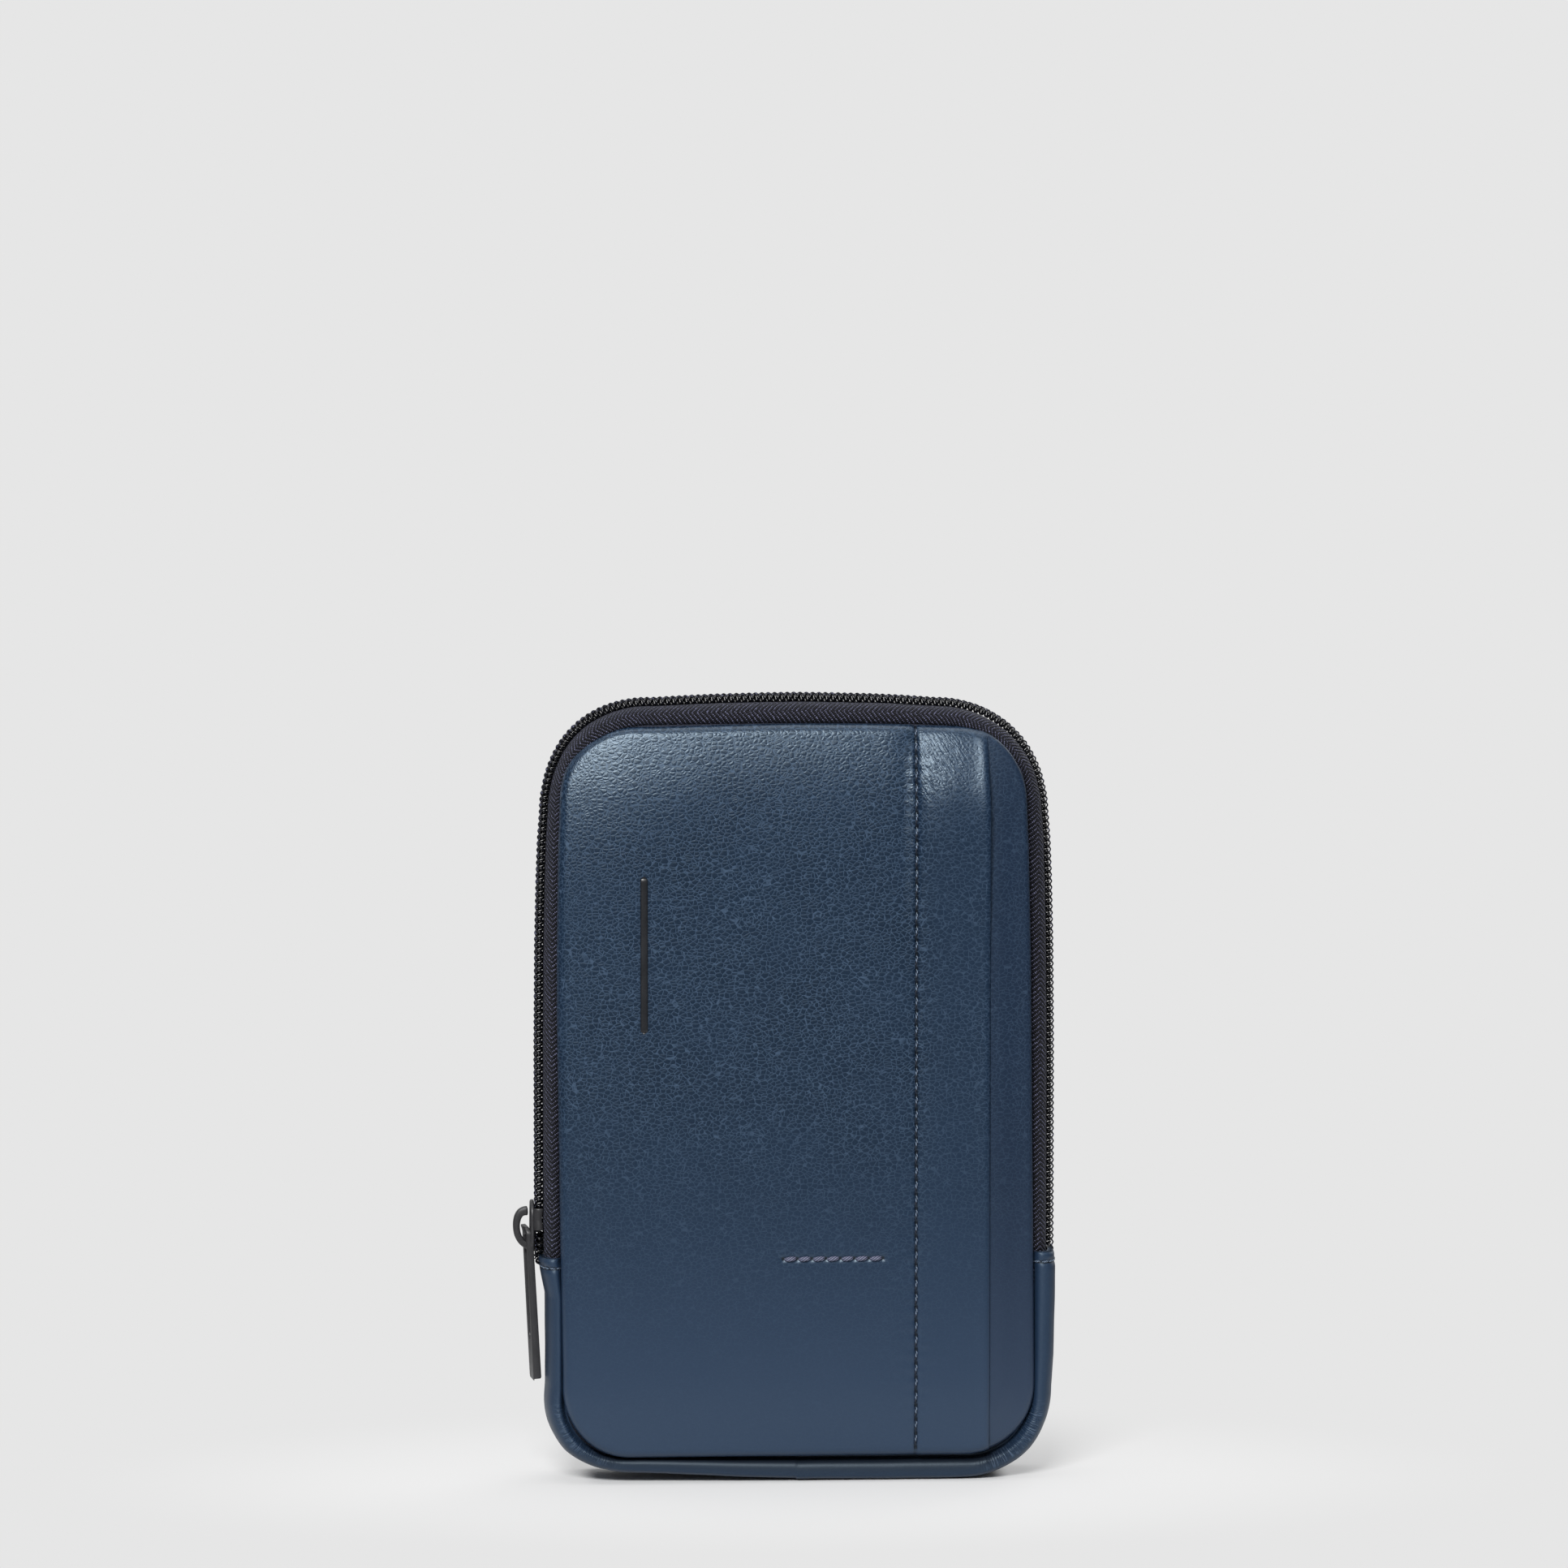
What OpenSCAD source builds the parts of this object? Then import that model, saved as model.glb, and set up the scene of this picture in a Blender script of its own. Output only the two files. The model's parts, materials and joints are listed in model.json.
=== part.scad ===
// A slim zip-around leather phone pouch, standing on its base with its front towards -Y.
// The origin is the middle of the base. Every piece is cut, layered and sewn as on the real pouch.

/* [Outline] */
// Width across the leather gusset
rim_w = 117.8; // [105:0.2:135]
// Height from the base to the crest of the gusset line
rim_h = 179.4; // [160:0.2:205]
// Radius of the gusset line at the top corners
rim_top_r = 25.6; // [22:0.2:30]
// Radius of the gusset line at the bottom corners
rim_bottom_r = 19.5; // [16:0.5:24]
// Height at which the leather gusset ends and the zip begins
zip_start = 51; // [46:0.5:56]
// Height of the line along which the opened front folds
fold_z = 66.5; // [66:0.5:72]

/* [Gusset] */
// Depth from the middle plane to either seam
seam_depth = 9.6; // [9.2:0.1:12]
// Radius of the gusset's shoulders
shoulder_r = 4.6; // [3.8:0.1:5]
// Thickness of the gusset leather
gusset_t = 1.1; // [0.9:0.1:1.4]
// Thickness of the gusset leather where it is skived thin for the seam
skived_t = 0.5; // [0.4:0.1:0.7]
// Width of the seam allowance that is sewn behind the panels
seam_allowance = 4; // [3:0.5:5]
// Thickness of the board that stiffens the gusset
stiffener_t = 0.7; // [0.5:0.1:1]

/* [Panels] */
// Inset of the panels' sides from the gusset line
panel_side_inset = 5.1; // [4.7:0.1:5.6]
// Inset of the panels' top edge from the gusset line
panel_top_inset = 5.3; // [4.7:0.1:6]
// Inset of the panels' bottom edge from the gusset line
panel_bottom_inset = 5.3; // [4.7:0.1:6]
// Radius of the panels' top corners
panel_top_r = 18; // [15:0.5:20]
// Radius of the panels' bottom corners
panel_bottom_r = 16; // [13:0.5:18]
// Thickness of the panel leather
leather_t = 1.1; // [0.9:0.1:1.4]
// Radius of the rounded edge of the front base panel and the back panel
edge_r = 2; // [1.6:0.1:2.1]
// Radius of the rounded edge of the pocket panel
pocket_edge_r = 3; // [2.2:0.1:3.4]
// Thickness of the foam behind the leather
foam_t = 1.5; // [1.2:0.1:2.2]
// Thickness of the lining cloth
lining_t = 0.4; // [0.3:0.05:0.6]
// Width of the binding tape over the inner seams
binding_w = 4; // [3:0.5:5]
// Thickness of the binding tape
binding_t = 0.5; // [0.4:0.1:0.7]

/* [Front pocket] */
// Distance of the pocket's folded edge from the middle
pocket_edge_x = 44; // [40:0.5:46]
// Width of the hem behind the folded edge
hem_w = 16.8; // [12:0.2:22]
// Thickness of the hem's inner layer
hem_t = 0.7; // [0.5:0.1:0.9]
// Slack between the hem and the base panel
pocket_slack = 0.2; // [0.2:0.05:0.4]
// Thickness of the cloth that lines the pocket panel
pocket_lining_t = 0.3; // [0.2:0.05:0.4]

/* [Zip] */
// Distance between neighbouring teeth of one row
tooth_pitch = 1.46; // [1.4:0.02:1.8]
// Thickness of one tooth along the row
tooth_t = 0.56; // [0.45:0.01:0.6]
// Height of the coil above its tape
coil_h = 1.9; // [1.7:0.1:2.2]
// Reach of a tooth from the middle plane to its heel
tooth_heel = 3.1; // [2.8:0.1:3.4]
// Reach of a tooth's head past the middle plane
tooth_bite = 0.45; // [0.3:0.05:0.55]
// Depth of the tape's outer face below the gusset line
tape_drop = 1.3; // [1.2:0.1:1.6]
// Thickness of the tape
tape_t = 0.5; // [0.4:0.05:0.6]
// Distance of the tape's inner edge from the middle plane
tape_gap = 1.4; // [1.3:0.05:1.7]
// Length of the tape's tail under the leather
tape_tail = 7; // [4:0.5:9]

/* [Slider] */
// Length of the slider
slider_l = 12; // [11.6:0.1:12.6]
// Width of the slider at its shoulders
slider_w = 10; // [9.4:0.1:10.4]
// Width of the slider at its tail
slider_tail_w = 8.8; // [8.6:0.1:9.2]
// Height of the slider's middle above the base
slider_z = 58; // [57.6:0.1:59]
// Thickness of the slider's outer plate
crown_t = 1; // [0.9:0.1:1.2]
// Thickness of the slider's inner plate
sole_t = 1.1; // [0.9:0.1:1.3]
// Running gap between the slider and what it rides on
slider_gap = 0.2; // [0.15:0.05:0.25]
// Thickness of the slider's side flanges
flange_t = 0.95; // [0.8:0.05:1]
// Length of the slider's side flanges from its middle towards the tail
flange_l = 4.6; // [3.6:0.1:4.6]
// Radius of the slider's round ends
end_r = 7.4; // [7:0.1:8]
// Radius of the camber along the slider's outer plate
camber_r = 42; // [36:1:60]
// Outer radius of the bridge that carries the pull
bridge_r = 4.9; // [4.7:0.1:5.2]
// Thickness of the bridge in side view
bridge_t = 2; // [1.8:0.1:2]
// Width of the bridge across the slider
bridge_w = 2.2; // [1.8:0.1:2.6]
// Gap at the bridge's open end
bridge_gap = 0.25; // [0.2:0.05:0.4]
// Drop of the pull's hinge line below the slider's middle
bar_drop = 1.1; // [0.8:0.05:1.15]
// Gap between the pull's cross bar and the slider's outer plate
bar_gap = 0.4; // [0.35:0.05:0.45]

/* [Pull] */
// Length of the pull below its hinge line
pull_l = 34; // [28:0.5:40]
// Width of the pull at its top
pull_top_w = 8.2; // [7.4:0.1:9]
// Width of the pull at its bottom
pull_bottom_w = 6.4; // [5.6:0.1:7.4]
// Thickness of the pull at its bottom
pull_t = 1.6; // [1.3:0.1:1.8]
// Radius of the pull's cross bar
bar_r = 0.6; // [0.5:0.05:0.65]
// Width of the slot in the pull
slot_w = 3.8; // [3.4:0.1:4.2]
// Length of the slot below the hinge line
slot_l = 26; // [20:0.5:29]
// Angle by which the hanging pull leans towards the gusset
pull_lean = 2.6; // [1.6:0.2:3]
// Angle by which the hanging pull is turned towards the front
pull_turn = 6; // [0:1:8]

/* [Inside] */
// Width of the card slots
card_slot_w = 91; // [89:0.5:96]
// Height of the card slots' lower edge
card_slot_z = 26; // [22:1:34]
// Depth of one card slot
card_slot_h = 52; // [48:1:56]
// Step between the openings of neighbouring card slots
card_slot_step = 12; // [9:1:15]
// Thickness of one card slot's leather
card_slot_t = 0.7; // [0.5:0.05:0.8]
// Slack behind one card slot
card_slack = 0.3; // [0.3:0.05:0.5]
// Width of the flap pocket inside the front
slip_w = 88; // [80:0.5:94]
// Height of the flap pocket inside the front
slip_h = 68; // [50:1:76]
// Thickness of the flap pocket's cloth
slip_t = 0.5; // [0.4:0.05:0.7]
// Width of the seams that hold the inner pockets
inner_seam = 3; // [2:0.5:4]

/* [Hidden] */
$fn = 64;
// Facets of the long camber's circle
camber_fn = 400;

// Overrun of cuts
cut = 1;
// Clearance between layers that lie on each other
layer_gap = 0.05;
// Gap between the two halves of the front at the fold
fold_gap = 0.3;
// Number of card slots
card_slots = 3;

half_w = rim_w / 2;
half_seam = seam_depth - skived_t;
tape_inner_u = -tape_drop - tape_t;
leg_u = -shoulder_r - seam_allowance;
lining_edge = shoulder_r + tape_drop;

// Outlines are [half width, bottom, top, bottom corner radius, top corner radius]
rim = [half_w, 0, rim_h, rim_bottom_r, rim_top_r];
panel = [half_w - panel_side_inset, panel_bottom_inset, rim_h - panel_top_inset, panel_bottom_r, panel_top_r];

wrap_inset = leather_t + pocket_slack;
base_depth = foam_t - skived_t + leather_t;
base_face = seam_depth + base_depth;
pocket_depth = base_depth + pocket_slack + hem_t + leather_t;
pocket_face = seam_depth + pocket_depth;
lining_face = half_seam - lining_t;
binding_face = lining_face - binding_t;

chain_left = rim_h - rim_top_r - zip_start;
chain_corner = PI / 2 * rim_top_r;
chain_top = rim_w - 2 * rim_top_r;
chain_l = 2 * chain_left + 2 * chain_corner + chain_top;
chain_margin = 0.6;

function inset(o, d) = [o[0] - d, o[1] + d, o[2] - d, o[3] - d, o[4] - d];

// A quarter disc in the first quadrant
module quarter(r) {
    intersection() {
        circle(r);
        square(r);
    }
}

// A flat outline in x and z with exact round corners, drawn in the xy plane
module outline(o) {
    w = o[0];
    low = o[1];
    high = o[2];
    polygon([
        [w, low + o[3]], [w, high - o[4]], [w - o[4], high - o[4]], [w - o[4], high],
        [o[4] - w, high], [o[4] - w, high - o[4]], [-w, high - o[4]], [-w, low + o[3]],
        [o[3] - w, low + o[3]], [o[3] - w, low], [w - o[3], low], [w - o[3], low + o[3]]
    ]);
    for (side = [0, 1]) mirror([side, 0]) {
        translate([w - o[4], high - o[4]]) quarter(o[4]);
        translate([w - o[3], low + o[3]]) mirror([0, 1]) quarter(o[3]);
    }
}

// A plate with that outline between two depths, both measured from the middle plane towards the back
module plate(o, near, far) {
    translate([0, far, 0]) rotate([90, 0, 0]) linear_extrude(far - near) outline(o);
}

// The runs below sweep a profile whose x points out of the outline and whose y is the depth
module side_runs(o, low, high) {
    for (side = [0, 1]) mirror([side, 0, 0])
        translate([o[0], 0, low]) linear_extrude(high - low) children();
}

module corner(r) {
    rotate([90, 0, 0]) rotate_extrude(angle = 90) translate([r, 0]) mirror([0, 1]) children();
}

module top_runs(o) {
    for (side = [0, 1]) mirror([side, 0, 0])
        translate([o[0] - o[4], 0, o[2] - o[4]]) corner(o[4]) children();
    translate([o[0] - o[4], 0, o[2]]) rotate([0, -90, 0])
        linear_extrude(2 * (o[0] - o[4])) children();
}

module bottom_runs(o) {
    for (side = [0, 1]) mirror([side, 0, 0])
        translate([o[0] - o[3], 0, o[1] + o[3]]) rotate([0, 90, 0]) corner(o[3]) children();
    translate([o[3] - o[0], 0, o[1]]) rotate([0, 90, 0])
        linear_extrude(2 * (o[0] - o[3])) children();
}

module ring(o) {
    side_runs(o, o[1] + o[3], o[2] - o[4]) children();
    top_runs(o) children();
    bottom_runs(o) children();
}

module below_fold() {
    intersection() {
        children();
        translate([-rim_w, -rim_w, -cut]) cube([2 * rim_w, 2 * rim_w, fold_z + cut]);
    }
}

module above_fold() {
    intersection() {
        children();
        translate([-rim_w, -rim_w, fold_z + fold_gap]) cube([2 * rim_w, 2 * rim_w, rim_h]);
    }
}

// Leather panels

// A block from the origin to x = -w and y = h with its outer far corner rounded
module rounded_block(w, h, r) {
    polygon([[-w, 0], [0, 0], [0, h - r], [-r, h - r], [-r, h], [-w, h]]);
    translate([-r, h - r]) quarter(r);
}

// The edge of the pocket panel in section, hollow behind its rounded rim
module shell_edge(w, h, r) {
    difference() {
        rounded_block(w, h, r);
        translate([-leather_t, -cut]) rounded_block(w + cut, h - leather_t + cut, r - leather_t);
    }
}

// A base panel that faces the back: foam fills it, and its edge is turned in around the foam
module turned_panel() {
    o = inset(panel, wrap_inset);
    edge_w = 2 * edge_r;
    difference() {
        union() {
            ring(o) translate([0, seam_depth]) rounded_block(edge_w, base_depth, edge_r);
            plate(inset(o, edge_w - layer_gap), seam_depth, base_face);
        }
        plate(inset(rim, -leg_u), 0, base_face - leather_t);
    }
}

module back_panel() {
    color("#33455c") turned_panel();
}

module base_panel() {
    color("#33455c") mirror([0, 1, 0]) turned_panel();
}

// The hem and the round fold at the pocket's open edge, in section
module hem_section() {
    fold_r = (leather_t + hem_t) / 2;
    translate([pocket_edge_x - fold_r, seam_depth + pocket_depth - fold_r]) {
        intersection() {
            circle(fold_r);
            translate([0, -fold_r]) square([fold_r, 2 * fold_r]);
        }
        translate([fold_r - hem_w, -fold_r]) square([hem_w - fold_r, hem_t]);
    }
}

module pocket_panel() {
    fold_r = (leather_t + hem_t) / 2;
    color("#33455c") mirror([0, 1, 0]) {
        intersection() {
            union() {
                ring(panel) translate([0, seam_depth])
                    shell_edge(2 * pocket_edge_r, pocket_depth, pocket_edge_r);
                plate(inset(panel, 2 * pocket_edge_r - layer_gap), pocket_face - leather_t, pocket_face);
            }
            translate([-rim_w, 0, -cut]) cube([rim_w + pocket_edge_x - fold_r, rim_w, rim_h + cut]);
        }
        intersection() {
            linear_extrude(rim_h) hem_section();
            plate(inset(panel, leather_t + pocket_slack), seam_depth, pocket_face + cut);
        }
    }
}

module pocket_lining() {
    lining = inset(panel, pocket_edge_r);
    color("#23262e") mirror([0, 1, 0]) intersection() {
        plate(lining, pocket_face - leather_t - pocket_lining_t, pocket_face - leather_t);
        translate([-rim_w, 0, 0]) cube([rim_w + pocket_edge_x - hem_w - layer_gap, rim_w, rim_h]);
    }
}

// Padding, linings and bindings

module padding() {
    plate(inset(rim, -leg_u + layer_gap), half_seam, half_seam + foam_t);
}

module lining() {
    plate(inset(rim, lining_edge), lining_face, half_seam);
}

module binding() {
    ring(rim) translate([-lining_edge - binding_w, binding_face]) square([binding_w, binding_t]);
}

module back_padding() {
    color("#8a8d92") padding();
}

module back_lining() {
    color("#2a2d36") lining();
}

module back_seam_binding() {
    color("#1d2028") binding();
}

module front_padding() {
    color("#8a8d92") mirror([0, 1, 0]) padding();
}

module front_lining() {
    color("#2a2d36") mirror([0, 1, 0]) lining();
}

module front_seam_binding() {
    color("#1d2028") mirror([0, 1, 0]) binding();
}

// Gusset

// A channel in section, round at its shoulders, with legs that run into the seams
module channel(drop, depth, web, leg, leg_end, r) {
    difference() {
        for (side = [0, 1]) mirror([0, side])
            translate([-drop, 0]) rounded_block(-leg_end - drop, depth, r);
        for (side = [0, 1]) mirror([0, side])
            translate([-drop - web, 0]) rounded_block(rim_bottom_r, depth - leg, r - web);
    }
}

module gusset_run(top) {
    bottom_runs(rim) children();
    side_runs(rim, rim_bottom_r, top) children();
}

module gusset_strip() {
    color("#33455c") gusset_run(zip_start)
        channel(0, seam_depth, gusset_t, skived_t, leg_u, shoulder_r);
}

module gusset_stiffener() {
    drop = gusset_t + layer_gap;
    color("#c9c2b2") gusset_run(zip_start - tape_tail - layer_gap)
        translate([-drop - stiffener_t, shoulder_r - seam_depth])
            square([stiffener_t, 2 * (seam_depth - shoulder_r)]);
}

module gusset_lining() {
    drop = gusset_t + 2 * layer_gap + stiffener_t;
    color("#2a2d36") gusset_run(zip_start)
        channel(drop, half_seam - layer_gap, lining_t, lining_t, -shoulder_r + layer_gap,
            shoulder_r - drop - 3 * layer_gap);
}

// Zip

// One half of the tape in section, on the back's side of the middle plane
module tape_section() {
    difference() {
        translate([-tape_drop, 0])
            rounded_block(-leg_u - tape_drop, seam_depth, shoulder_r);
        translate([tape_inner_u, 0])
            rounded_block(rim_top_r, seam_depth - tape_t, shoulder_r - tape_t);
        translate([-rim_top_r, -cut]) square([2 * rim_top_r, tape_gap + cut]);
    }
}

// The part of the tape that lies flat under the leather
module tape_tail_section() {
    translate([tape_inner_u, tape_gap])
        square([tape_t, seam_depth - shoulder_r - tape_gap]);
}

module tape_lower() {
    side_runs(rim, zip_start + layer_gap, fold_z) tape_section();
    side_runs(rim, zip_start - tape_tail, zip_start + layer_gap) tape_tail_section();
}

module tape_upper(low) {
    side_runs(rim, low, rim_h - rim_top_r) tape_section();
    top_runs(rim) tape_section();
}

module zip_tape_back() {
    color("#262733") {
        tape_lower();
        tape_upper(fold_z);
    }
}

// Where the chain runs, as [x, z, direction out of the outline], at a length from its left end
function chain_at(s) =
    s < chain_left ? [-half_w, zip_start + s, 180] :
    s < chain_left + chain_corner ? chain_turn(s - chain_left, -1) :
    s < chain_left + chain_corner + chain_top ?
        [s - chain_left - chain_corner - chain_top / 2, rim_h, 90] :
    s < chain_l - chain_left ? chain_turn(chain_l - chain_left - s, 1) :
        [half_w, zip_start + chain_l - s, 0];

function chain_turn(s, side) = let (turn = 90 * s / chain_corner) [
    side * (half_w - rim_top_r + rim_top_r * cos(turn)),
    rim_h - rim_top_r + rim_top_r * sin(turn),
    side > 0 ? turn : 180 - turn
];

// The slider's post: its half width, its length, and the share of the half width that is left at its foot
post_half = 0.8;
post_l = 3.6;
post_foot_share = 0.7;
post_tip = slider_z - slider_l / 6;

// Around the post the two rows stand apart: where they begin to part above it, and over what length
parting_lead = 1.6;
parting_l = 3.6;
parting_y = post_half + tooth_bite + slider_gap;
function parting(s) = parting_y * max(0, min(1, (post_tip + parting_lead - zip_start - s) / parting_l));

module tooth() {
    r = coil_h / 2;
    linear_extrude(tooth_t, center = true) translate([r - tape_drop, 0]) {
        translate([0, r - tooth_bite]) circle(r);
        translate([0, tooth_heel - r]) circle(r);
        translate([-r, r - tooth_bite]) square([coil_h, tooth_heel + tooth_bite - coil_h]);
    }
}

// One row of teeth on the back's side, from one length of the chain to another, kept below or above the fold
module tooth_row(start, low, high) {
    for (s = [start : tooth_pitch : chain_l - chain_margin]) {
        at = chain_at(s);
        if (at[1] - tooth_t / 2 >= low && at[1] + tooth_t / 2 <= high)
            translate([at[0], parting(s), at[1]]) rotate([0, -at[2], 0]) tooth();
    }
}

module zip_coil_back() {
    color("#17181c") tooth_row(chain_margin, 0, rim_h + rim_w);
}

module front_teeth(low, high) {
    color("#17181c") mirror([0, 1, 0]) tooth_row(chain_margin + tooth_pitch / 2, low, high);
}

// Slider and pull, drawn with x out of the left side and moved there by on_left

crown_u = coil_h - tape_drop + slider_gap;
sole_u = tape_inner_u - slider_gap - sole_t;
crown_top = crown_u + crown_t;
bridge_u = crown_top - bridge_r + 2 * bridge_t;
bar_u = crown_top + bar_r + bar_gap;
bar_z = slider_z - bar_drop;

module on_left() {
    mirror([1, 0, 0]) translate([half_w, 0, 0]) children();
}

// Places a shape drawn in depth and height, and extrudes it outwards
module outward(from, to) {
    translate([from, 0, 0]) rotate([90, 0, 90]) linear_extrude(to - from) children();
}

// Places a shape drawn in outward distance and height, and extrudes it evenly about the middle plane
module across(w) {
    translate([0, w / 2, 0]) rotate([90, 0, 0]) linear_extrude(w) children();
}

module slider_outline() {
    tail = slider_tail_w / 2;
    shoulder = slider_w / 2;
    end = slider_l / 2;
    translate([0, slider_z]) intersection() {
        translate([0, end - end_r]) circle(end_r);
        translate([0, end_r - end]) circle(end_r);
        polygon([
            [-tail, end], [tail, end], [tail, 0], [shoulder, -end / 4], [shoulder, -end],
            [-shoulder, -end], [-shoulder, -end / 4], [-tail, 0]
        ]);
    }
}

module slider_plates() {
    intersection() {
        outward(crown_u, crown_top + cut) slider_outline();
        across(2 * slider_w) translate([crown_top - camber_r, slider_z]) circle(camber_r, $fn = camber_fn);
    }
    outward(sole_u, sole_u + sole_t) slider_outline();
}

module slider_flanges() {
    low = slider_gap - tape_drop;
    for (side = [0, 1]) mirror([0, side, 0])
        translate([low, tooth_heel + slider_gap, slider_z])
            cube([crown_u + crown_t / 2 - low, flange_t, flange_l]);
}

module slider_post() {
    foot = post_half * post_foot_share;
    waist = post_tip - post_l * post_foot_share;
    outward(sole_u + sole_t / 2, crown_u + crown_t / 2) polygon([
        [0, post_tip], [post_half, waist], [foot, post_tip - post_l],
        [-foot, post_tip - post_l], [-post_half, waist]
    ]);
}

// An open loop that springs from the crown's shoulder end and stops short of its tail end
module slider_bridge() {
    root_u = crown_u + crown_t / 2;
    across(bridge_w) difference() {
        translate([bridge_u, slider_z]) difference() {
            circle(bridge_r);
            circle(bridge_r - bridge_t);
        }
        translate([root_u - 2 * bridge_r, slider_z - 2 * bridge_r]) square([2 * bridge_r, 4 * bridge_r]);
        translate([root_u - cut, slider_z]) square([crown_top + bridge_gap - root_u + cut, 2 * bridge_r]);
    }
}

module slider_body() {
    color("#2b2b2d") on_left() {
        slider_plates();
        slider_flanges();
        slider_post();
        slider_bridge();
    }
}

module pull_side() {
    polygon([
        [-bar_r, 0], [bar_r, 0], [pull_t - bar_r, -pull_l], [-bar_r, -pull_l]
    ]);
    intersection() {
        circle(bar_r);
        translate([-bar_r, 0]) square([2 * bar_r, bar_r]);
    }
}

module pull_face() {
    polygon([
        [-pull_top_w / 2, bar_r], [pull_top_w / 2, bar_r],
        [pull_bottom_w / 2, -pull_l], [-pull_bottom_w / 2, -pull_l]
    ]);
}

module pull_slot() {
    r = slot_w / 2;
    translate([-r, r - slot_l]) square([slot_w, slot_l]);
    translate([0, r - slot_l]) circle(r);
}

module pull_tab() {
    color("#333335") on_left() translate([bar_u, 0, bar_z])
        rotate([0, 0, -pull_turn]) rotate([0, pull_lean, 0]) {
            difference() {
                intersection() {
                    across(2 * pull_top_w) pull_side();
                    outward(-pull_t, pull_t) pull_face();
                }
                outward(-pull_t, pull_t) pull_slot();
            }
            across(slot_w + 2 * bar_r) circle(bar_r - layer_gap);
        }
}

// Inner pockets

// A flat pocket on the back lining: a sheet held along its sides and foot, with slack behind it
module flat_pocket(w, low, high, back, t, slack) {
    difference() {
        translate([-w / 2, back - t - slack, low]) cube([w, t + slack, high - low]);
        translate([inner_seam - w / 2, back - slack, low + inner_seam])
            cube([w - 2 * inner_seam, slack + cut, high - low]);
    }
}

module card_slot(level) {
    if (level < card_slots)
        flat_pocket(card_slot_w, card_slot_z,
            card_slot_z + card_slot_h + (card_slots - 1 - level) * card_slot_step,
            lining_face - level * (card_slot_t + card_slack), card_slot_t, card_slack);
}

module card_slot_rear() {
    color("#33455c") card_slot(0);
}

module card_slot_middle() {
    color("#33455c") card_slot(1);
}

module card_slot_front() {
    color("#33455c") card_slot(2);
}

module inner_slip_pocket() {
    low = fold_z + fold_gap + inner_seam;
    color("#23262e") mirror([0, 1, 0])
        flat_pocket(slip_w, low, low + slip_h, lining_face, slip_t, card_slack);
}

back_panel();
back_padding();
back_lining();
back_seam_binding();
gusset_strip();
gusset_stiffener();
gusset_lining();
zip_tape_back();
zip_coil_back();
card_slot_rear();
card_slot_middle();
card_slot_front();
below_fold() pocket_panel();  // pocket_panel_lower
below_fold() base_panel();  // base_panel_lower
below_fold() pocket_lining();  // pocket_lining_lower
below_fold() front_padding();  // front_padding_lower
below_fold() front_lining();  // front_lining_lower
below_fold() front_seam_binding();  // front_seam_binding_lower
mirror([0, 1, 0]) tape_lower();  // zip_tape_front_lower
front_teeth(0, fold_z);  // zip_coil_front_lower
above_fold() pocket_panel();  // pocket_panel_upper
above_fold() base_panel();  // base_panel_upper
above_fold() pocket_lining();  // pocket_lining_upper
above_fold() front_padding();  // front_padding_upper
above_fold() front_lining();  // front_lining_upper
above_fold() front_seam_binding();  // front_seam_binding_upper
mirror([0, 1, 0]) tape_upper(fold_z + fold_gap);  // zip_tape_front_upper
front_teeth(fold_z + fold_gap, rim_h + rim_w);  // zip_coil_front_upper
inner_slip_pocket();
slider_body();
pull_tab();
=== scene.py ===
import json
import math
from collections import namedtuple

import bpy
import numpy as np
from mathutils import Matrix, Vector

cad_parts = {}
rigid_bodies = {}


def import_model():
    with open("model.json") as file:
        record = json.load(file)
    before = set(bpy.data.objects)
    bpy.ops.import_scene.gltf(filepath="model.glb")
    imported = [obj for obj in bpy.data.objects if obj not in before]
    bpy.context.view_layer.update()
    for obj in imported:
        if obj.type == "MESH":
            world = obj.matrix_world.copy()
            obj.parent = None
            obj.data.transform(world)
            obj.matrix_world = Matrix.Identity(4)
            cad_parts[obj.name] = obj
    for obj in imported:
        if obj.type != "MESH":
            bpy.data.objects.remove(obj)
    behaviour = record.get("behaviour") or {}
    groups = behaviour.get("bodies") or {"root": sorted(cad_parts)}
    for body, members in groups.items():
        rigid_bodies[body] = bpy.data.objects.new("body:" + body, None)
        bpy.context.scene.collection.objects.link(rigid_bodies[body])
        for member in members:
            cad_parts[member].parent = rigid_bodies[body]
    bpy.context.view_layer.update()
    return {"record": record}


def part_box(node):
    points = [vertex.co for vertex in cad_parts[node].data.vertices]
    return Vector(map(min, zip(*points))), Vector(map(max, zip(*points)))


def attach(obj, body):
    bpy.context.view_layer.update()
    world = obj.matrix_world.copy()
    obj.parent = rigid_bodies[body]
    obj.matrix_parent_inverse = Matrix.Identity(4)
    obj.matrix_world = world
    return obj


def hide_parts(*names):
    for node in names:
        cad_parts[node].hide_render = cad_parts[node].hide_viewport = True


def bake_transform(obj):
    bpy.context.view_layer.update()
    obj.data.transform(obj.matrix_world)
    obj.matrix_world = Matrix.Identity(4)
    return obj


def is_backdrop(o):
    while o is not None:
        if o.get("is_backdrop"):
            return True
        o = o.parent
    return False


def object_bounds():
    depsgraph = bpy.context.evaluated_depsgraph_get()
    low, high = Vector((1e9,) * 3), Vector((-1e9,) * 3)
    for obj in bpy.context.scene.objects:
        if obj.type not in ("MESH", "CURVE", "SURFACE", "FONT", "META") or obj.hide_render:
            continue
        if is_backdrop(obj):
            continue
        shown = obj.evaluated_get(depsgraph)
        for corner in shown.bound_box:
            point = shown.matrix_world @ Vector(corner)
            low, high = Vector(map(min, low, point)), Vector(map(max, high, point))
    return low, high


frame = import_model()

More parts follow.
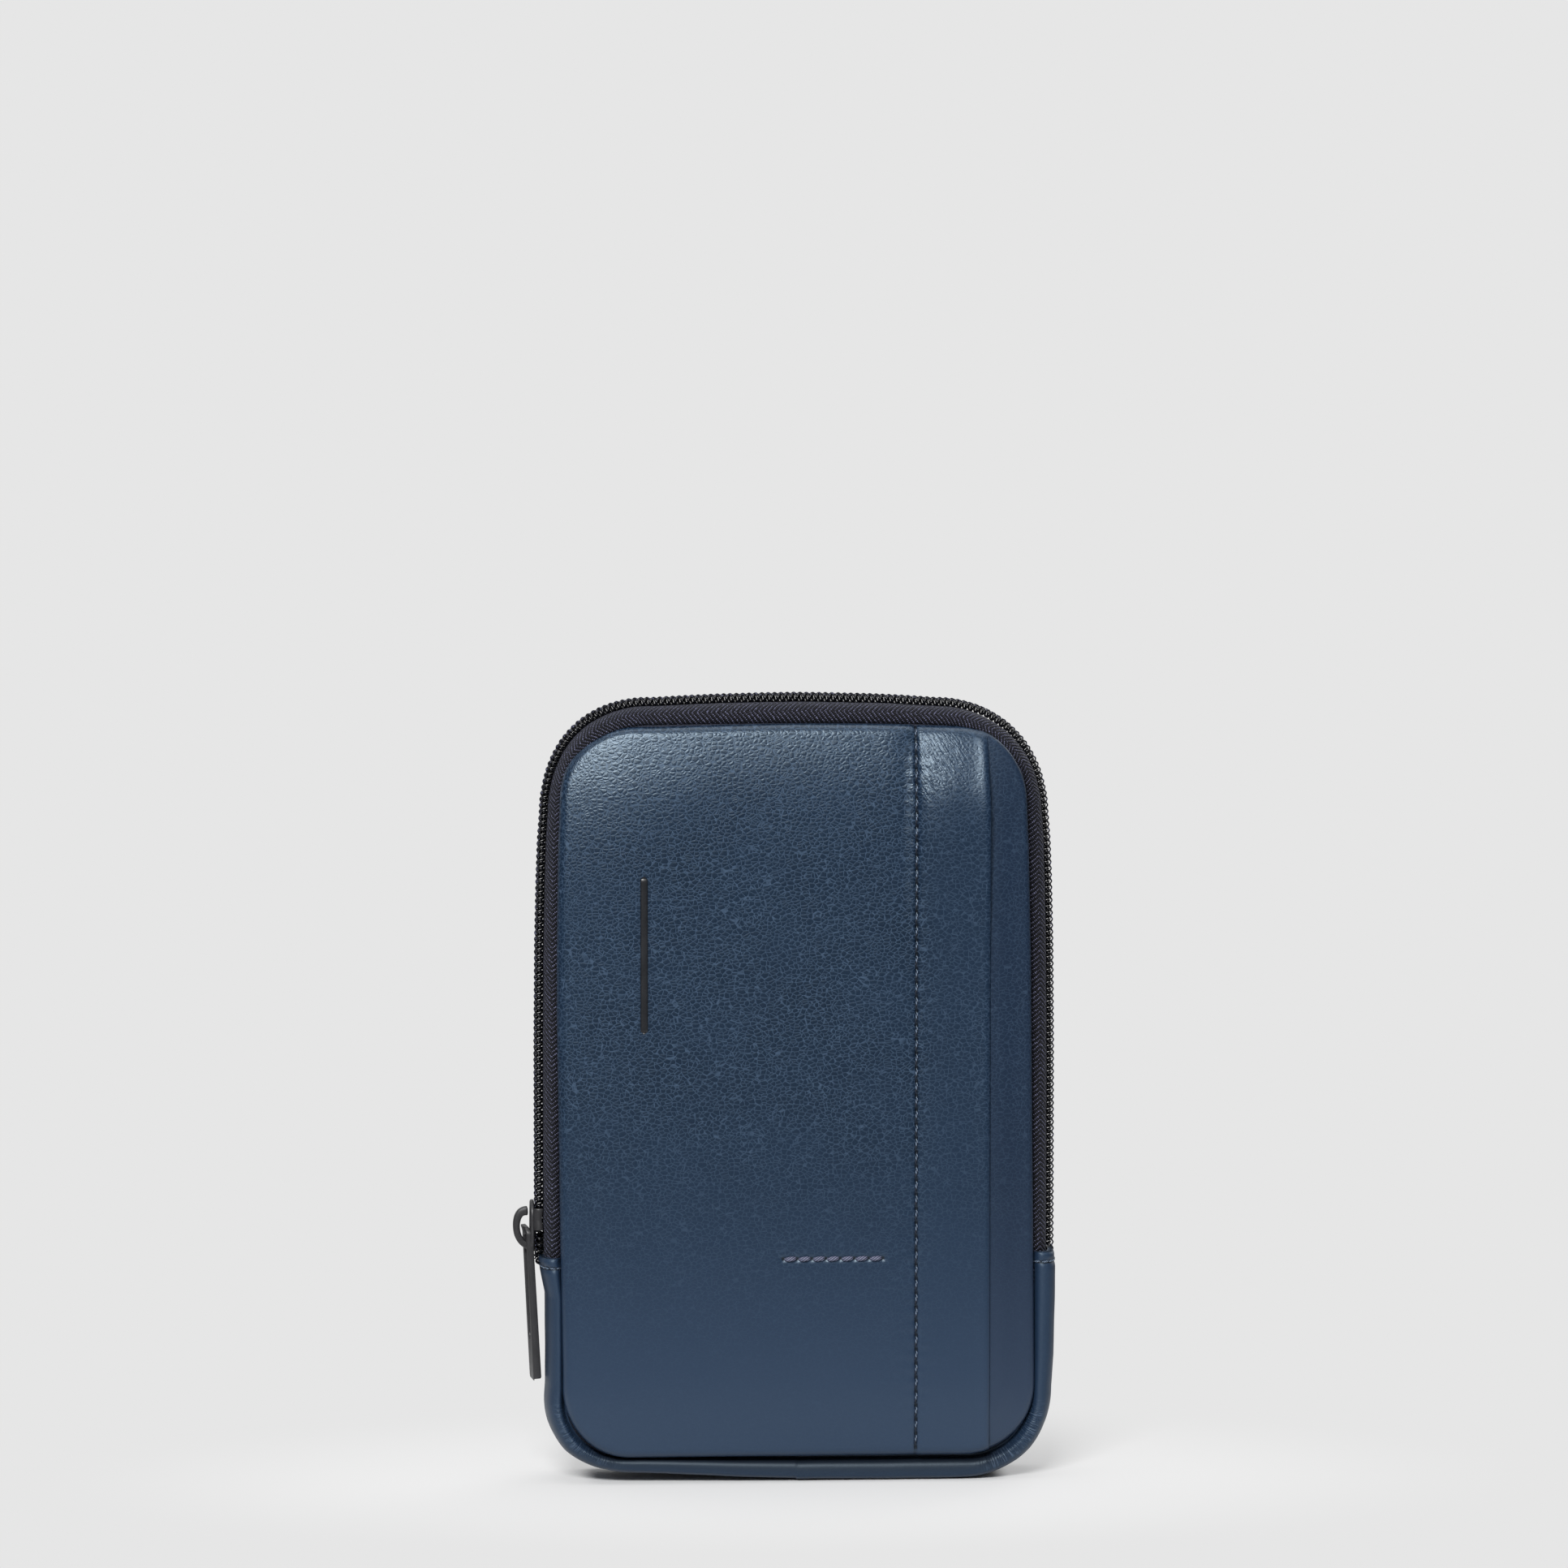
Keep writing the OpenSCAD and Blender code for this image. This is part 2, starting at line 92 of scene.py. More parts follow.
# Sizes in millimetres, taken from the CAD nodes where they have them
MM = 0.001
QUARTER = math.pi / 2
ROUND = 2 * math.pi


def span(*nodes):
    """The lowest and highest corners of some CAD nodes together, in millimetres."""
    lows, highs = zip(*(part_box(node) for node in nodes))
    return np.min(lows, 0) / MM, np.max(highs, 0) / MM


gusset_high = span("gusset_strip")[1]
pocket_low = span("pocket_panel_lower")[0]
slider_low, slider_high = span("slider_body")

# A standing rounded rectangle: half its width, its foot, its top, and its lower and upper corners' radii
Shape = namedtuple("Shape", "half low high r_low r_high")

# The rim runs round the gusset's outer face, and the zip's tapes lie this far inside it
TAPE_DROP = 1.3
TAPE_THICK = 0.5
RIM = Shape(gusset_high[0], 0.0, span("zip_tape_back")[1][2] + TAPE_DROP, 19.5, 25.6)
PANEL_WIDER = 0.2
PANEL_SHORTER = 0.65
PANEL = Shape(PANEL_WIDER - pocket_low[0], pocket_low[2] + PANEL_SHORTER,
              span("pocket_panel_upper")[1][2] - PANEL_SHORTER, 16.0, 17.0)
POCKET_FACE = -pocket_low[1]
BASE_FACE = -span("base_panel_lower")[0][1]
BACK_FACE = span("back_panel")[1][1]

# How high the gusset's ends stand on the left and the right, and how far below them their stitches are
GUSSET_TOP = {-1: gusset_high[2] + 0.7, 1: gusset_high[2] + 1.3}
STITCH_FROM_END = 2.3

# The pocket's folded edge and its hem's stitches, and the row of thick stitches across the pocket
FOLD_X = 44.0
FOLD_R = 1.1
HEM_X = 27.0
HEM_PITCH = 3.23
HEM_LOW = PANEL.low + 2.0
HEM_COUNT = int((PANEL.high - HEM_LOW - 0.6) / HEM_PITCH) + 1
TACK_X = -3.4
TACK_Z = 51.6
TACK_PITCH = 3.25
TACKS = 7
TACK_END = TACK_X + TACKS * TACK_PITCH

# The threads' radii: the pockets' rows, the gusset's end rows, the thick row and the zip's sewing
ROW_R, END_R, TACK_R, SEWING_R = 0.2, 0.24, 0.55, 0.17

# The zip's teeth
TOOTH_PITCH = 1.46
FILAMENT_R = 0.3
COIL_HEEL = 3.0
COIL_BITE = 0.45
CREST_U = 0.6
POST_Z = slider_low[2] + 2.2
POST_HALF = 0.8

# The stretch in which the front's layers bend, and the layers' two sides: y's sign, name and body
BENDING = "from back_shell to front_cover"
SIDES = ((-1, "front", BENDING), (1, "back", "back_shell"))


# Curves
def part_way(x, low, high):
    """How far x has come from low to high, from 0 to 1."""
    return np.clip((x - low) / (high - low), 0, 1)


def eased(share):
    """A share that starts and ends gently."""
    return share * share * (3 - 2 * share)


def bell(x, middle, width):
    """Is 1 at the middle, and sinks to nothing on both sides."""
    return np.exp(-((np.asarray(x) - middle) / width) ** 2)


def wave(x, seed, period):
    """A smooth wandering value from -1 to 1, the same on each run."""
    draw = np.random.RandomState(seed)
    total = np.zeros_like(np.asarray(x, float))
    for k in range(4):
        total += np.sin(ROUND * np.asarray(x) / (period * (0.6 + 0.5 * k)) + draw.rand() * 7) / 4
    return total


def squarer(turn, power):
    """A sine or cosine with a flatter top, for rounded squares."""
    return np.sign(turn) * np.abs(turn) ** power


def smooth_line(points, n):
    """n points on a Catmull-Rom curve through the given ones."""
    p = np.asarray(points, float)
    p = np.vstack([2 * p[0] - p[1], p, 2 * p[-1] - p[-2]])
    t = np.linspace(0, len(p) - 3 - 1e-9, n)
    i = t.astype(int)
    f = (t - i)[:, None]
    a, b, c, d = p[i], p[i + 1], p[i + 2], p[i + 3]
    bend = (2 * a - 5 * b + 4 * c - d) * f ** 2 + (3 * b - a - 3 * c + d) * f ** 3
    return 0.5 * (2 * b + (c - a) * f + bend)


def travelled(line):
    """The distance along a line of points, at each of them."""
    return np.r_[0, np.cumsum(np.linalg.norm(np.diff(line, axis=0), axis=1))]


def directions(line):
    """The unit direction of a line of points, at each of them."""
    tangent = np.gradient(line, axis=0)
    return tangent / np.linalg.norm(tangent, axis=1)[:, None]


def mirrored(points):
    """Half a section from its edge to its middle, and its mirror image after it."""
    points = np.asarray(points, float)
    return np.vstack([points, points[-2::-1] * (-1, 1)])


# The rim: the track round the pouch on which the gusset and the zip lie
def rounded(shape, t):
    """Points and outward normals of a standing rounded rectangle.

    t runs along it from the middle of its top, and is below 0 on the left.
    """
    half, low, high, r_low, r_high = shape
    side = np.where(np.asarray(t) < 0, -1.0, 1.0)
    past_top = np.abs(np.asarray(t, float)) - (half - r_high)
    wall = high - r_high - low - r_low
    past_high = past_top - r_high * QUARTER
    a = np.clip(past_top / r_high, 0, QUARTER)
    b = np.clip((past_high - wall) / r_low, 0, QUARTER)
    back = np.clip(past_high - wall - r_low * QUARTER, 0, None)
    x = half - r_high + np.minimum(past_top, 0) + r_high * np.sin(a) - r_low * (1 - np.cos(b)) - back
    z = high - r_high * (1 - np.cos(a)) - np.clip(past_high, 0, wall) - r_low * np.sin(b)
    nx = np.where(b <= 0, np.sin(a), np.cos(b))
    nz = np.where(b <= 0, np.cos(a), -np.sin(b))
    return side * x, z, side * nx, nz


def on_rim(t, y, u):
    """Points at the distance t along the rim, at y across it and u out of it."""
    x, z, nx, nz = rounded(RIM, t)
    return np.stack([x + nx * u, y, z + nz * u], 1)


def along_side(z):
    """The distance along the rim from its top's middle to the height z on its straight side."""
    return RIM.half - RIM.r_high + RIM.r_high * QUARTER + (RIM.high - RIM.r_high - z)


def rim_place(x, z):
    """Each point's distance along the rim, and how far it lies out of it."""
    half, _, high, r_low, r_high = RIM
    ax = np.abs(x)
    top, bottom = half - r_high, half - r_low
    t = along_side(z)
    u = ax - half
    rise = z - (high - r_high)
    for here, place, out in (
            (z < half - ax, HALF - ax, -z),
            (high - z < half - ax, ax, z - high),
            ((ax > top) & (rise > 0), top + r_high * np.arctan2(ax - top, rise),
             np.hypot(ax - top, rise) - r_high),
            ((ax > bottom) & (z < r_low), FOOT_T + r_low * np.arctan2(r_low - z, ax - bottom),
             np.hypot(ax - bottom, r_low - z) - r_low)):
        t = np.where(here, place, t)
        u = np.where(here, out, u)
    return np.where(x < 0, -1.0, 1.0) * t, u


# Places along the rim: its foot's corners, its foot's middle, the gusset's ends and its top corners' middle
FOOT_T = along_side(RIM.r_low)
HALF = FOOT_T + RIM.r_low * QUARTER + RIM.half - RIM.r_low
END_T = {side: along_side(GUSSET_TOP[side]) for side in (-1, 1)}
CORNER_T = RIM.half - RIM.r_high + RIM.r_high * QUARTER / 2

# How far the top corners are drawn in, at these distances from their middle
SETTLE_AT = [-58, -46, -36, -29, -21, -15, -9, -3, 3, 9, 15, 21, 28, 36, 51, 74]
SETTLE_IN = [0, .15, .4, .7, 1.15, 1.05, .85, .75, .9, 1.25, 1.5, 1.35, .85, .55, .2, 0]


def settle(points):
    """Draws the top corners in, as the closed zip pulls them."""
    t, u = rim_place(points[:, 0], points[:, 2])
    amount = np.interp(np.abs(t) - CORNER_T, SETTLE_AT, SETTLE_IN) * part_way(u, -9, 0)
    amount += np.where(t > 0, 0.65 * bell(t, CORNER_T - 3, 16), 0) * part_way(u, -25, -7)
    _, _, nx, nz = rounded(RIM, t)
    return points - np.stack([nx * amount, np.zeros_like(amount), nz * amount], 1)


# Meshes, each as its points, faces and uv, in millimetres, and one unit of a finished piece's uv
UV_UNIT = 100.0


def grid(rows, cols, wrap_rows=False, wrap_cols=False):
    """The quads between rows of points."""
    i = np.arange(rows if wrap_rows else rows - 1)[:, None]
    j = np.arange(cols if wrap_cols else cols - 1)[None, :]
    next_i, next_j = (i + 1) % rows, (j + 1) % cols
    corners = (i * cols + j, i * cols + next_j, next_i * cols + next_j, next_i * cols + j)
    return np.stack([corner.ravel() for corner in corners], 1)


def capped(rings, sides):
    """The faces of a tube of rings, with a cap at each end."""
    last = (rings - 1) * sides
    caps = [list(range(sides)), [last + i for i in reversed(range(sides))]]
    return grid(rings, sides, wrap_cols=True).tolist() + caps


def merge(parts):
    """Several meshes as one."""
    points, faces, uv = [], [], []
    start = 0
    for some_points, some_faces, some_uv in parts:
        points.append(some_points)
        uv.append(some_uv)
        faces.extend([start + i for i in face] for face in some_faces)
        start += len(some_points)
    return np.concatenate(points), faces, np.concatenate(uv)


def sweep(t, section, warp=None):
    """A closed section of (y, u) points swept along the rim."""
    n, k = len(t), len(section)
    along = np.repeat(t, k)
    y, u = np.tile(section[:, 0], n), np.tile(section[:, 1], n)
    if warp:
        y, u = warp(along, y, u)
    uv = np.stack([along, np.tile(travelled(section), n)], 1)
    return on_rim(along, y, u), capped(n, k), uv


def tube(centre, radius, sides, across=(0.0, 1.0, 0.0)):
    """A closed tube along points, with one radius or one for each point."""
    n = len(centre)
    radius = np.broadcast_to(np.asarray(radius, float), (n,))
    tangent = directions(centre)
    first = np.cross(tangent, np.broadcast_to(across, (n, 3)))
    first /= np.linalg.norm(first, axis=1)[:, None] + 1e-9
    second = np.cross(tangent, first)
    a = np.arange(sides) * ROUND / sides
    ring = first[:, None, :] * np.cos(a)[None, :, None] + second[:, None, :] * np.sin(a)[None, :, None]
    points = (centre[:, None, :] + ring * radius[:, None, None]).reshape(-1, 3)
    uv = np.stack([np.repeat(travelled(centre), sides), np.tile(a * radius.max(), n)], 1)
    return points, capped(n, sides), uv


def stitch(a, b, lift, radius, sides, n, sink=0.35):
    """One stitch: a thread from a to b that bows out by lift and dives at both ends."""
    a, b, lift = (np.array(v, float) for v in (a, b, lift))
    f = np.linspace(0, 1, n)
    bow = 1 - np.abs(2 * f - 1) ** 3
    dive = np.where((f == 0) | (f == 1), -sink, 0.0)
    out = lift / np.linalg.norm(lift)
    centre = a + (b - a) * f[:, None] + lift * bow[:, None] + out * dive[:, None]
    return tube(centre, radius * (1 - 0.45 * np.abs(2 * f - 1) ** 4), sides, out)


def halves(node, body):
    """A layer's CAD nodes: a bending one is parted at the fold."""
    return (node + "_lower", node + "_upper") if body == BENDING else (node,)


def piece(name, mesh, material, body, nodes=(), settled=True):
    """A smooth piece of one material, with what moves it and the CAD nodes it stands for."""
    points, faces, uv = mesh
    if settled:
        points = settle(points)
    data = bpy.data.meshes.new(name)
    data.from_pydata((points * MM).tolist(), [], faces)
    layer = data.uv_layers.new(name="UVMap")
    index = np.empty(len(data.loops), dtype=np.int32)
    data.loops.foreach_get("vertex_index", index)
    layer.data.foreach_set("uv", (uv[index] / UV_UNIT).astype(np.float32).ravel())
    data.polygons.foreach_set("use_smooth", [True] * len(data.polygons))
    data.update()
    data.validate()
    data.materials.append(material)
    obj = bpy.data.objects.new(name, data)
    bpy.context.scene.collection.objects.link(obj)
    if body == BENDING:
        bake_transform(obj)
    else:
        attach(obj, body)
    if nodes:
        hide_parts(*nodes)
    return obj


# Materials
def colour(r, g, b):
    """Linear colour of an sRGB one from 0 to 255."""
    parts = (c / 255 for c in (r, g, b))
    return tuple(c / 12.92 if c <= 0.04 else ((c + 0.055) / 1.055) ** 2.4 for c in parts) + (1.0,)


NAVY = colour(14, 31, 50)
NAVY_DARK = colour(11, 27, 45)
NAVY_SMOOTH = colour(27, 44, 66)
SLATE_SMOOTH = colour(29, 41, 61)
# Painted reflection: the paler grey-blue the leather is painted towards its foot, for light thrown up by the
# floor
PAINTED_BOUNCE_GREY = colour(60, 74, 98)
CREASE = colour(56, 73, 94)
# Painted highlight for the gusset's pleat ridges
PAINTED_PLEAT_HIGHLIGHT = colour(96, 114, 138)
DEEP_SHADE = (0.004, 0.005, 0.008, 1.0)
COOL_SHINE = (0.72, 0.88, 1.0, 1.0)
BACKDROP = colour(230, 230, 230)
WHITE = (1.0, 1.0, 1.0, 1.0)


def operator(operation):
    """A math node between two values, as an operator."""
    return lambda self, other: self.nodes.math(operation, self, other)


class Value:
    """A number that varies over a surface, to be reckoned with as plain numbers are."""

    def __init__(self, nodes, socket):
        self.nodes = nodes
        self.socket = socket

    __add__ = operator("ADD")
    __sub__ = operator("SUBTRACT")
    __mul__ = operator("MULTIPLY")
    __truediv__ = operator("DIVIDE")

    def __abs__(self):
        return self.nodes.math("ABSOLUTE", self)


class Nodes:
    """Shorthand for building a node tree."""

    def __init__(self, tree):
        self.tree = tree

    def put(self, socket, value):
        """Sets a socket to a constant, or links it to a value or another socket."""
        value = getattr(value, "socket", value)
        if isinstance(value, bpy.types.NodeSocket):
            self.tree.links.new(value, socket)
        else:
            socket.default_value = value

    def add(self, kind, inputs=None, **settings):
        node = self.tree.nodes.new("ShaderNode" + kind)
        for key, value in settings.items():
            setattr(node, key, value)
        for key, value in (inputs or {}).items():
            self.put(node.inputs[key], value)
        return node

    def math(self, operation, *inputs):
        return Value(self, self.add("Math", dict(enumerate(inputs)), operation=operation).outputs[0])

    def vector(self, operation, *inputs):
        return self.add("VectorMath", dict(enumerate(inputs)), operation=operation).outputs[0]

    def length(self, vector):
        return Value(self, self.add("VectorMath", {0: vector}, operation="LENGTH").outputs["Value"])

    def split(self, vector):
        return [Value(self, part) for part in self.add("SeparateXYZ", {0: vector}).outputs]

    def mix(self, factor, a, b):
        """The colour that lies between two others."""
        return self.add("Mix", {0: factor, 6: a, 7: b}, data_type="RGBA").outputs[2]

    def layer(self, factor, a, b):
        """A shader that mixes two others."""
        return self.add("MixShader", {0: factor, 1: a.outputs[0], 2: b.outputs[0]})

    def ramp(self, value, low, high, to_low=0.0, to_high=1.0):
        """Goes smoothly from to_low at low to to_high at high."""
        levels = {0: value, 1: low, 2: high, 3: to_low, 4: to_high}
        return Value(self, self.add("MapRange", levels, interpolation_type="SMOOTHSTEP").outputs[0])

    def near(self, value, middle, full, none, level=1.0):
        """Is level as far as full from middle on both sides, and sinks to 0 at none."""
        return self.ramp(abs(value - middle), full, none, level, 0.0)

    def sine(self, value, period, operation="SINE"):
        return self.math(operation, value * (ROUND / period))

    def noise(self, vector, scale, detail=2.0, roughness=0.5, distortion=0.0):
        inputs = {"Vector": vector, "Scale": scale, "Detail": detail, "Roughness": roughness,
                  "Distortion": distortion}
        return Value(self, self.add("TexNoise", inputs).outputs[0])


class Surface(Nodes):
    """A material and its node tree."""

    def __init__(self, name):
        self.material = bpy.data.materials.new(name)
        self.material.use_nodes = True
        super().__init__(self.material.node_tree)

    def uv(self):
        """The piece's own uv, in millimetres."""
        return self.vector("MULTIPLY", self.add("UVMap", uv_map="UVMap").outputs[0], (UV_UNIT,) * 3)

    def bump(self, height, distance, normal=None):
        inputs = {"Height": height, "Distance": distance, "Strength": 1.0}
        if normal is not None:
            inputs["Normal"] = normal
        return self.add("Bump", inputs).outputs[0]

    def finish(self, base, roughness, normal, **values):
        """Sets the shader's inputs, and gives the material."""
        shader = self.tree.nodes["Principled BSDF"]
        values.update(Base_Color=base, Roughness=roughness, Normal=normal)
        for key, value in values.items():
            self.put(shader.inputs[key.replace("_", " ")], value)
        return self.material


def leather(name, marks, smooth=NAVY_SMOOTH, cell=0.88, depth=0.000031, fine=0.00001, rough=(0.3, 0.39),
            fade=(20.0, 100.0), calm=(0.0, 1.0, 1.0)):
    """Grained, dyed leather: dark pebbles with paler creases round them, fine lines, pores and a mottled dye.

    The grain fades between fade's two heights towards the foot, and past calm's two places across it has the
    strength that calm ends with. marks adds what is seen at set places.
    """
    n = Surface(name)
    uv = n.uv()
    across, up, _ = n.split(uv)
    wander = n.add("TexNoise", {"Vector": uv, "Scale": 0.5, "Detail": 2.0}).outputs[1]
    place = n.vector("ADD", n.vector("MULTIPLY", uv, (0.74, 1.0, 0.0)),
                     n.vector("MULTIPLY", wander, (0.5, 0.5, 0.0)))
    edge = n.add("TexVoronoi", {"Vector": place, "Scale": 1 / cell, "Randomness": 1.0},
                 feature="DISTANCE_TO_EDGE").outputs[0]
    line = n.ramp(edge, 0.01, 0.09, 1.0, 0.0)
    streak = n.noise(n.vector("MULTIPLY", uv, (0.3, 1.5, 0.0)), 1.0, 3.0, 0.6, 0.4)
    pores = n.noise(uv, 3.2, 3.0, 0.6)
    mottle = n.noise(uv, 0.05, 3.0, 0.55)
    grain = n.ramp(up, *fade, 0.1, 1.0) * n.ramp(n.noise(uv, 0.07), 0.25, 0.6, 0.85, 1.0)
    grain = grain * n.ramp(across, calm[0], calm[1], 1.0, calm[2])
    height = n.ramp(edge, 0.0, 0.34) * grain + streak * (grain * 0.3 + 0.2)
    normal = n.bump(pores, fine, n.bump(height, depth))
    tone = n.mix(grain, smooth, n.mix(n.ramp(mottle, 0.3, 0.7), NAVY_DARK, NAVY))
    pale = line * grain * n.ramp(streak, 0.35, 0.65, 0.65, 0.95) + n.ramp(pores, 0.45, 0.75) * 0.06
    tone, normal = marks(n, across, up, n.mix(pale, tone, CREASE), normal)
    gloss = pores * (rough[1] - rough[0]) + rough[0]
    return n.finish(tone, gloss, normal, Specular_IOR_Level=0.52, Specular_Tint=COOL_SHINE)


def painted_floor_bounce(n, x, z, tone, normal):
    """A painted reflection: the leather is painted a little paler and greyer towards its foot, in place of
    part of the light that the floor throws up on it.
    """
    return n.mix(n.ramp(z, 4.0, 70.0, 0.16, 0.0), tone, PAINTED_BOUNCE_GREY), normal


def pocket_marks(n, x, z, tone, normal):
    """Painted shade in the needle holes of both stitch rows and along the hem's stitched groove, fine slanted
    wrinkles where the hem is gathered, and the painted reflection towards the foot.
    """
    tone, normal = painted_floor_bounce(n, x, z, tone, normal)
    dx, dz = (x - 32.5) / 6.5, (z - 164.0) / 10.0
    gathered = n.ramp(dx * dx + dz * dz, 0.15, 1.6, 1.0, 0.0)
    slant = x * 0.57 - z * 0.82
    lane = x * 0.82 + z * 0.57
    ripple = n.noise(n.add("CombineXYZ", {0: slant * 0.3, 1: lane * 1.7}).outputs[0], 1.0, 2.0, 0.5, 0.6)
    normal = n.bump(ripple * gathered, 0.00019, normal)
    # Painted shade: near-black in the needle holes, along the hem's stitched groove and in the tack row's
    # dints
    holes = n.ramp(n.sine(z - HEM_LOW, HEM_PITCH, "COSINE"), 0.2, 0.9) * n.near(x, HEM_X, 0.22, 0.5)
    line = n.near(x, HEM_X, 0.15, 0.55, 0.45)
    half_row = (TACK_END - TACK_X) / 2
    row = n.ramp(n.sine(x - TACK_X, TACK_PITCH, "COSINE"), 0.6, 0.95) * n.near(z, TACK_Z, 0.25, 0.55)
    row = row * n.near(x, TACK_X + half_row, half_row + 0.4, half_row + 0.8)
    painted_hole_shade = n.math("MAXIMUM", n.math("MAXIMUM", holes, line), row)
    return n.mix(painted_hole_shade * 0.92, tone, DEEP_SHADE), normal


def gusset_marks(n, t, v, tone, normal):
    """Fine pleats round the foot's corners, with painted highlights on their ridges; painted shade in the
    groove along the foot, and along the seam at each end.
    """
    corner = FOOT_T + 15.0
    corners = n.near(t, corner, 7.0, 15.0) + n.near(t, 2 * HALF - corner, 8.0, 17.0, 0.6)
    pleated = corners * n.near(v, 5.6, 0.8, 2.6)
    pleat = n.noise(n.add("CombineXYZ", {0: t * 2.4, 1: v * 0.2}).outputs[0], 1.0, 1.0, 0.5, 0.2)
    normal = n.bump(n.ramp(pleat, 0.35, 0.65) * pleated, 0.00019, normal)
    # Painted highlight: the pleats' ridges are painted paler
    tone = n.mix(n.ramp(pleat, 0.54, 0.66) * pleated * 0.42, tone, PAINTED_PLEAT_HIGHLIGHT)
    # Painted shade: the inner shoulder beside the groove along the foot is painted near-black where the panel
    # shades it
    groove = n.ramp(v, 4.6, 8.2, 0.85, 0.0) * n.near(t, HALF, 42.0, 58.0)
    tone = n.mix(groove, tone, DEEP_SHADE)
    # Painted shade along the groove of the seam at each end
    for seam in (END_T[1] + STITCH_FROM_END, 2 * HALF - END_T[-1] - STITCH_FROM_END):
        tone = n.mix(n.near(t, seam, 0.2, 0.55, 0.8), tone, DEEP_SHADE)
    return tone, normal


def herringbone(name, base, light, v_middle, half_band=3.3, rib=1.08, twill=0.7):
    """Woven zip tape: ribs in chevrons that run along it."""
    n = Surface(name)
    uv = n.uv()
    s, v, _ = n.split(uv)
    band = n.math("PINGPONG", v - v_middle, half_band)
    phase = n.noise(uv, 0.8, 1.0) * 0.4 + band * 0.72 - s
    ribs = n.sine(phase, rib)
    thread = n.sine(phase - band * 1.9, twill)
    fuzz = n.noise(uv, 2.2, 3.0, 0.75)
    normal = n.bump(thread * 0.35 + ribs + fuzz * 0.8, 0.00015)
    speck = n.ramp(n.noise(uv, 1.6, 2.0, 0.85), 0.52, 0.66)
    shade = speck * 0.35 + thread * 0.2 + ribs * 0.36 + fuzz
    tone = n.mix(n.ramp(shade, 0.78, 1.14), colour(*base), colour(*light))
    return n.finish(tone, 0.7, normal, Specular_IOR_Level=0.2, Sheen_Weight=0.05, Sheen_Roughness=0.5,
                    Sheen_Tint=(0.7, 0.76, 1.0, 1.0))


def cloth(name, base, light, rib, across):
    """Plain woven cloth, its ribs slanted by across."""
    n = Surface(name)
    uv = n.uv()
    s, v, _ = n.split(uv)
    weave = n.sine(v * across + s, rib) * 0.5 + n.sine(v, rib) * 0.3
    fuzz = n.noise(uv, 4.0, 2.0, 0.6)
    tone = n.mix(n.ramp(weave * 0.3 + fuzz, 0.2, 0.9), colour(*base), colour(*light))
    return n.finish(tone, 0.8, n.bump(weave + fuzz, 0.00005), Specular_IOR_Level=0.3)


def grainy(name, base, light, scale, rough, depth):
    """A surface of one stuff with fine grain, for coated metal, foam, board and nylon."""
    n = Surface(name)
    where = n.add("TexCoord").outputs["Object"]
    fine = n.noise(where, scale, 3.0, 0.6)
    broad = n.noise(where, scale / 14)
    tone = n.mix(n.ramp(fine * 0.5 + broad * 0.5, 0.3, 0.7), colour(*base), colour(*light))
    gloss = broad * (rough[1] - rough[0]) + rough[0]
    return n.finish(tone, gloss, n.bump(fine, depth))


def ply(name, base, light, lay, highlight_tip=None):
    """Twisted sewing thread. With a highlight tip, each stitch is painted paler past it, a painted highlight
    where it crests.
    """
    n = Surface(name)
    s, v, _ = n.split(n.uv())
    twist = n.sine(v * 1.4 + s, lay)
    lit = n.ramp(twist, -1.0, 0.8)
    # Painted highlight: past the tip each stitch is painted paler, where it crests
    if highlight_tip:
        lit = lit * n.ramp(s, *highlight_tip, 0.12, 1.0)
    tone = n.mix(lit, colour(*base), colour(*light))
    return n.finish(tone, 0.45, n.bump(twist, 0.00008), Specular_IOR_Level=0.4)


mat_panel = leather("panel_leather_grain", painted_floor_bounce)
mat_pocket = leather("pocket_leather_grain", pocket_marks, calm=(HEM_X - 1.0, HEM_X + 6.0, 0.7))
mat_base = leather("base_leather_grain", painted_floor_bounce, SLATE_SMOOTH, calm=(-60.0, -59.0, 0.5))
mat_gusset = leather("gusset_leather_grain", gusset_marks, cell=0.8, depth=0.00006, fine=0.00002,
                     rough=(0.43, 0.55), fade=(900.0, 901.0))
mat_tape = herringbone("zip_tape_herringbone", (4, 4, 10), (100, 102, 128), 5.8)
mat_coil = grainy("zip_coil_nylon", (6, 7, 11), (14, 15, 21), 4000, (0.18, 0.28), 0.000003)
mat_trim = grainy("trim_black", (16, 18, 22), (26, 28, 32), 3000, (0.3, 0.4), 0.00001)
mat_metal = grainy("coated_metal", (32, 32, 34), (40, 40, 43), 3500, (0.38, 0.5), 0.00001)
mat_lining = cloth("lining_twill", (26, 30, 42), (44, 50, 66), 0.7, 1.0)
mat_binding = cloth("binding_rib", (24, 27, 38), (42, 46, 60), 0.9, 0.0)
mat_foam = grainy("foam_cells", (150, 150, 146), (184, 184, 180), 2200, (0.85, 0.95), 0.0001)
mat_board = grainy("board_fibre", (120, 108, 92), (146, 132, 112), 1500, (0.8, 0.9), 0.00004)
mat_thread = ply("seam_thread", (34, 48, 68), (122, 140, 162), 0.6)
mat_hem = ply("hem_thread", (14, 21, 34), (122, 138, 160), 0.9, (1.1, 1.7))
mat_heavy = ply("bar_tack_thread", (44, 48, 68), (118, 122, 146), 0.8)

# Flat layers, their points closer together along the edges
EDGE_STEPS = np.array([0, .1, .28, .5, .8, 1.15, 1.6, 2.15, 2.8, 3.7, 5.0])
DENSE_HALF = 2.4


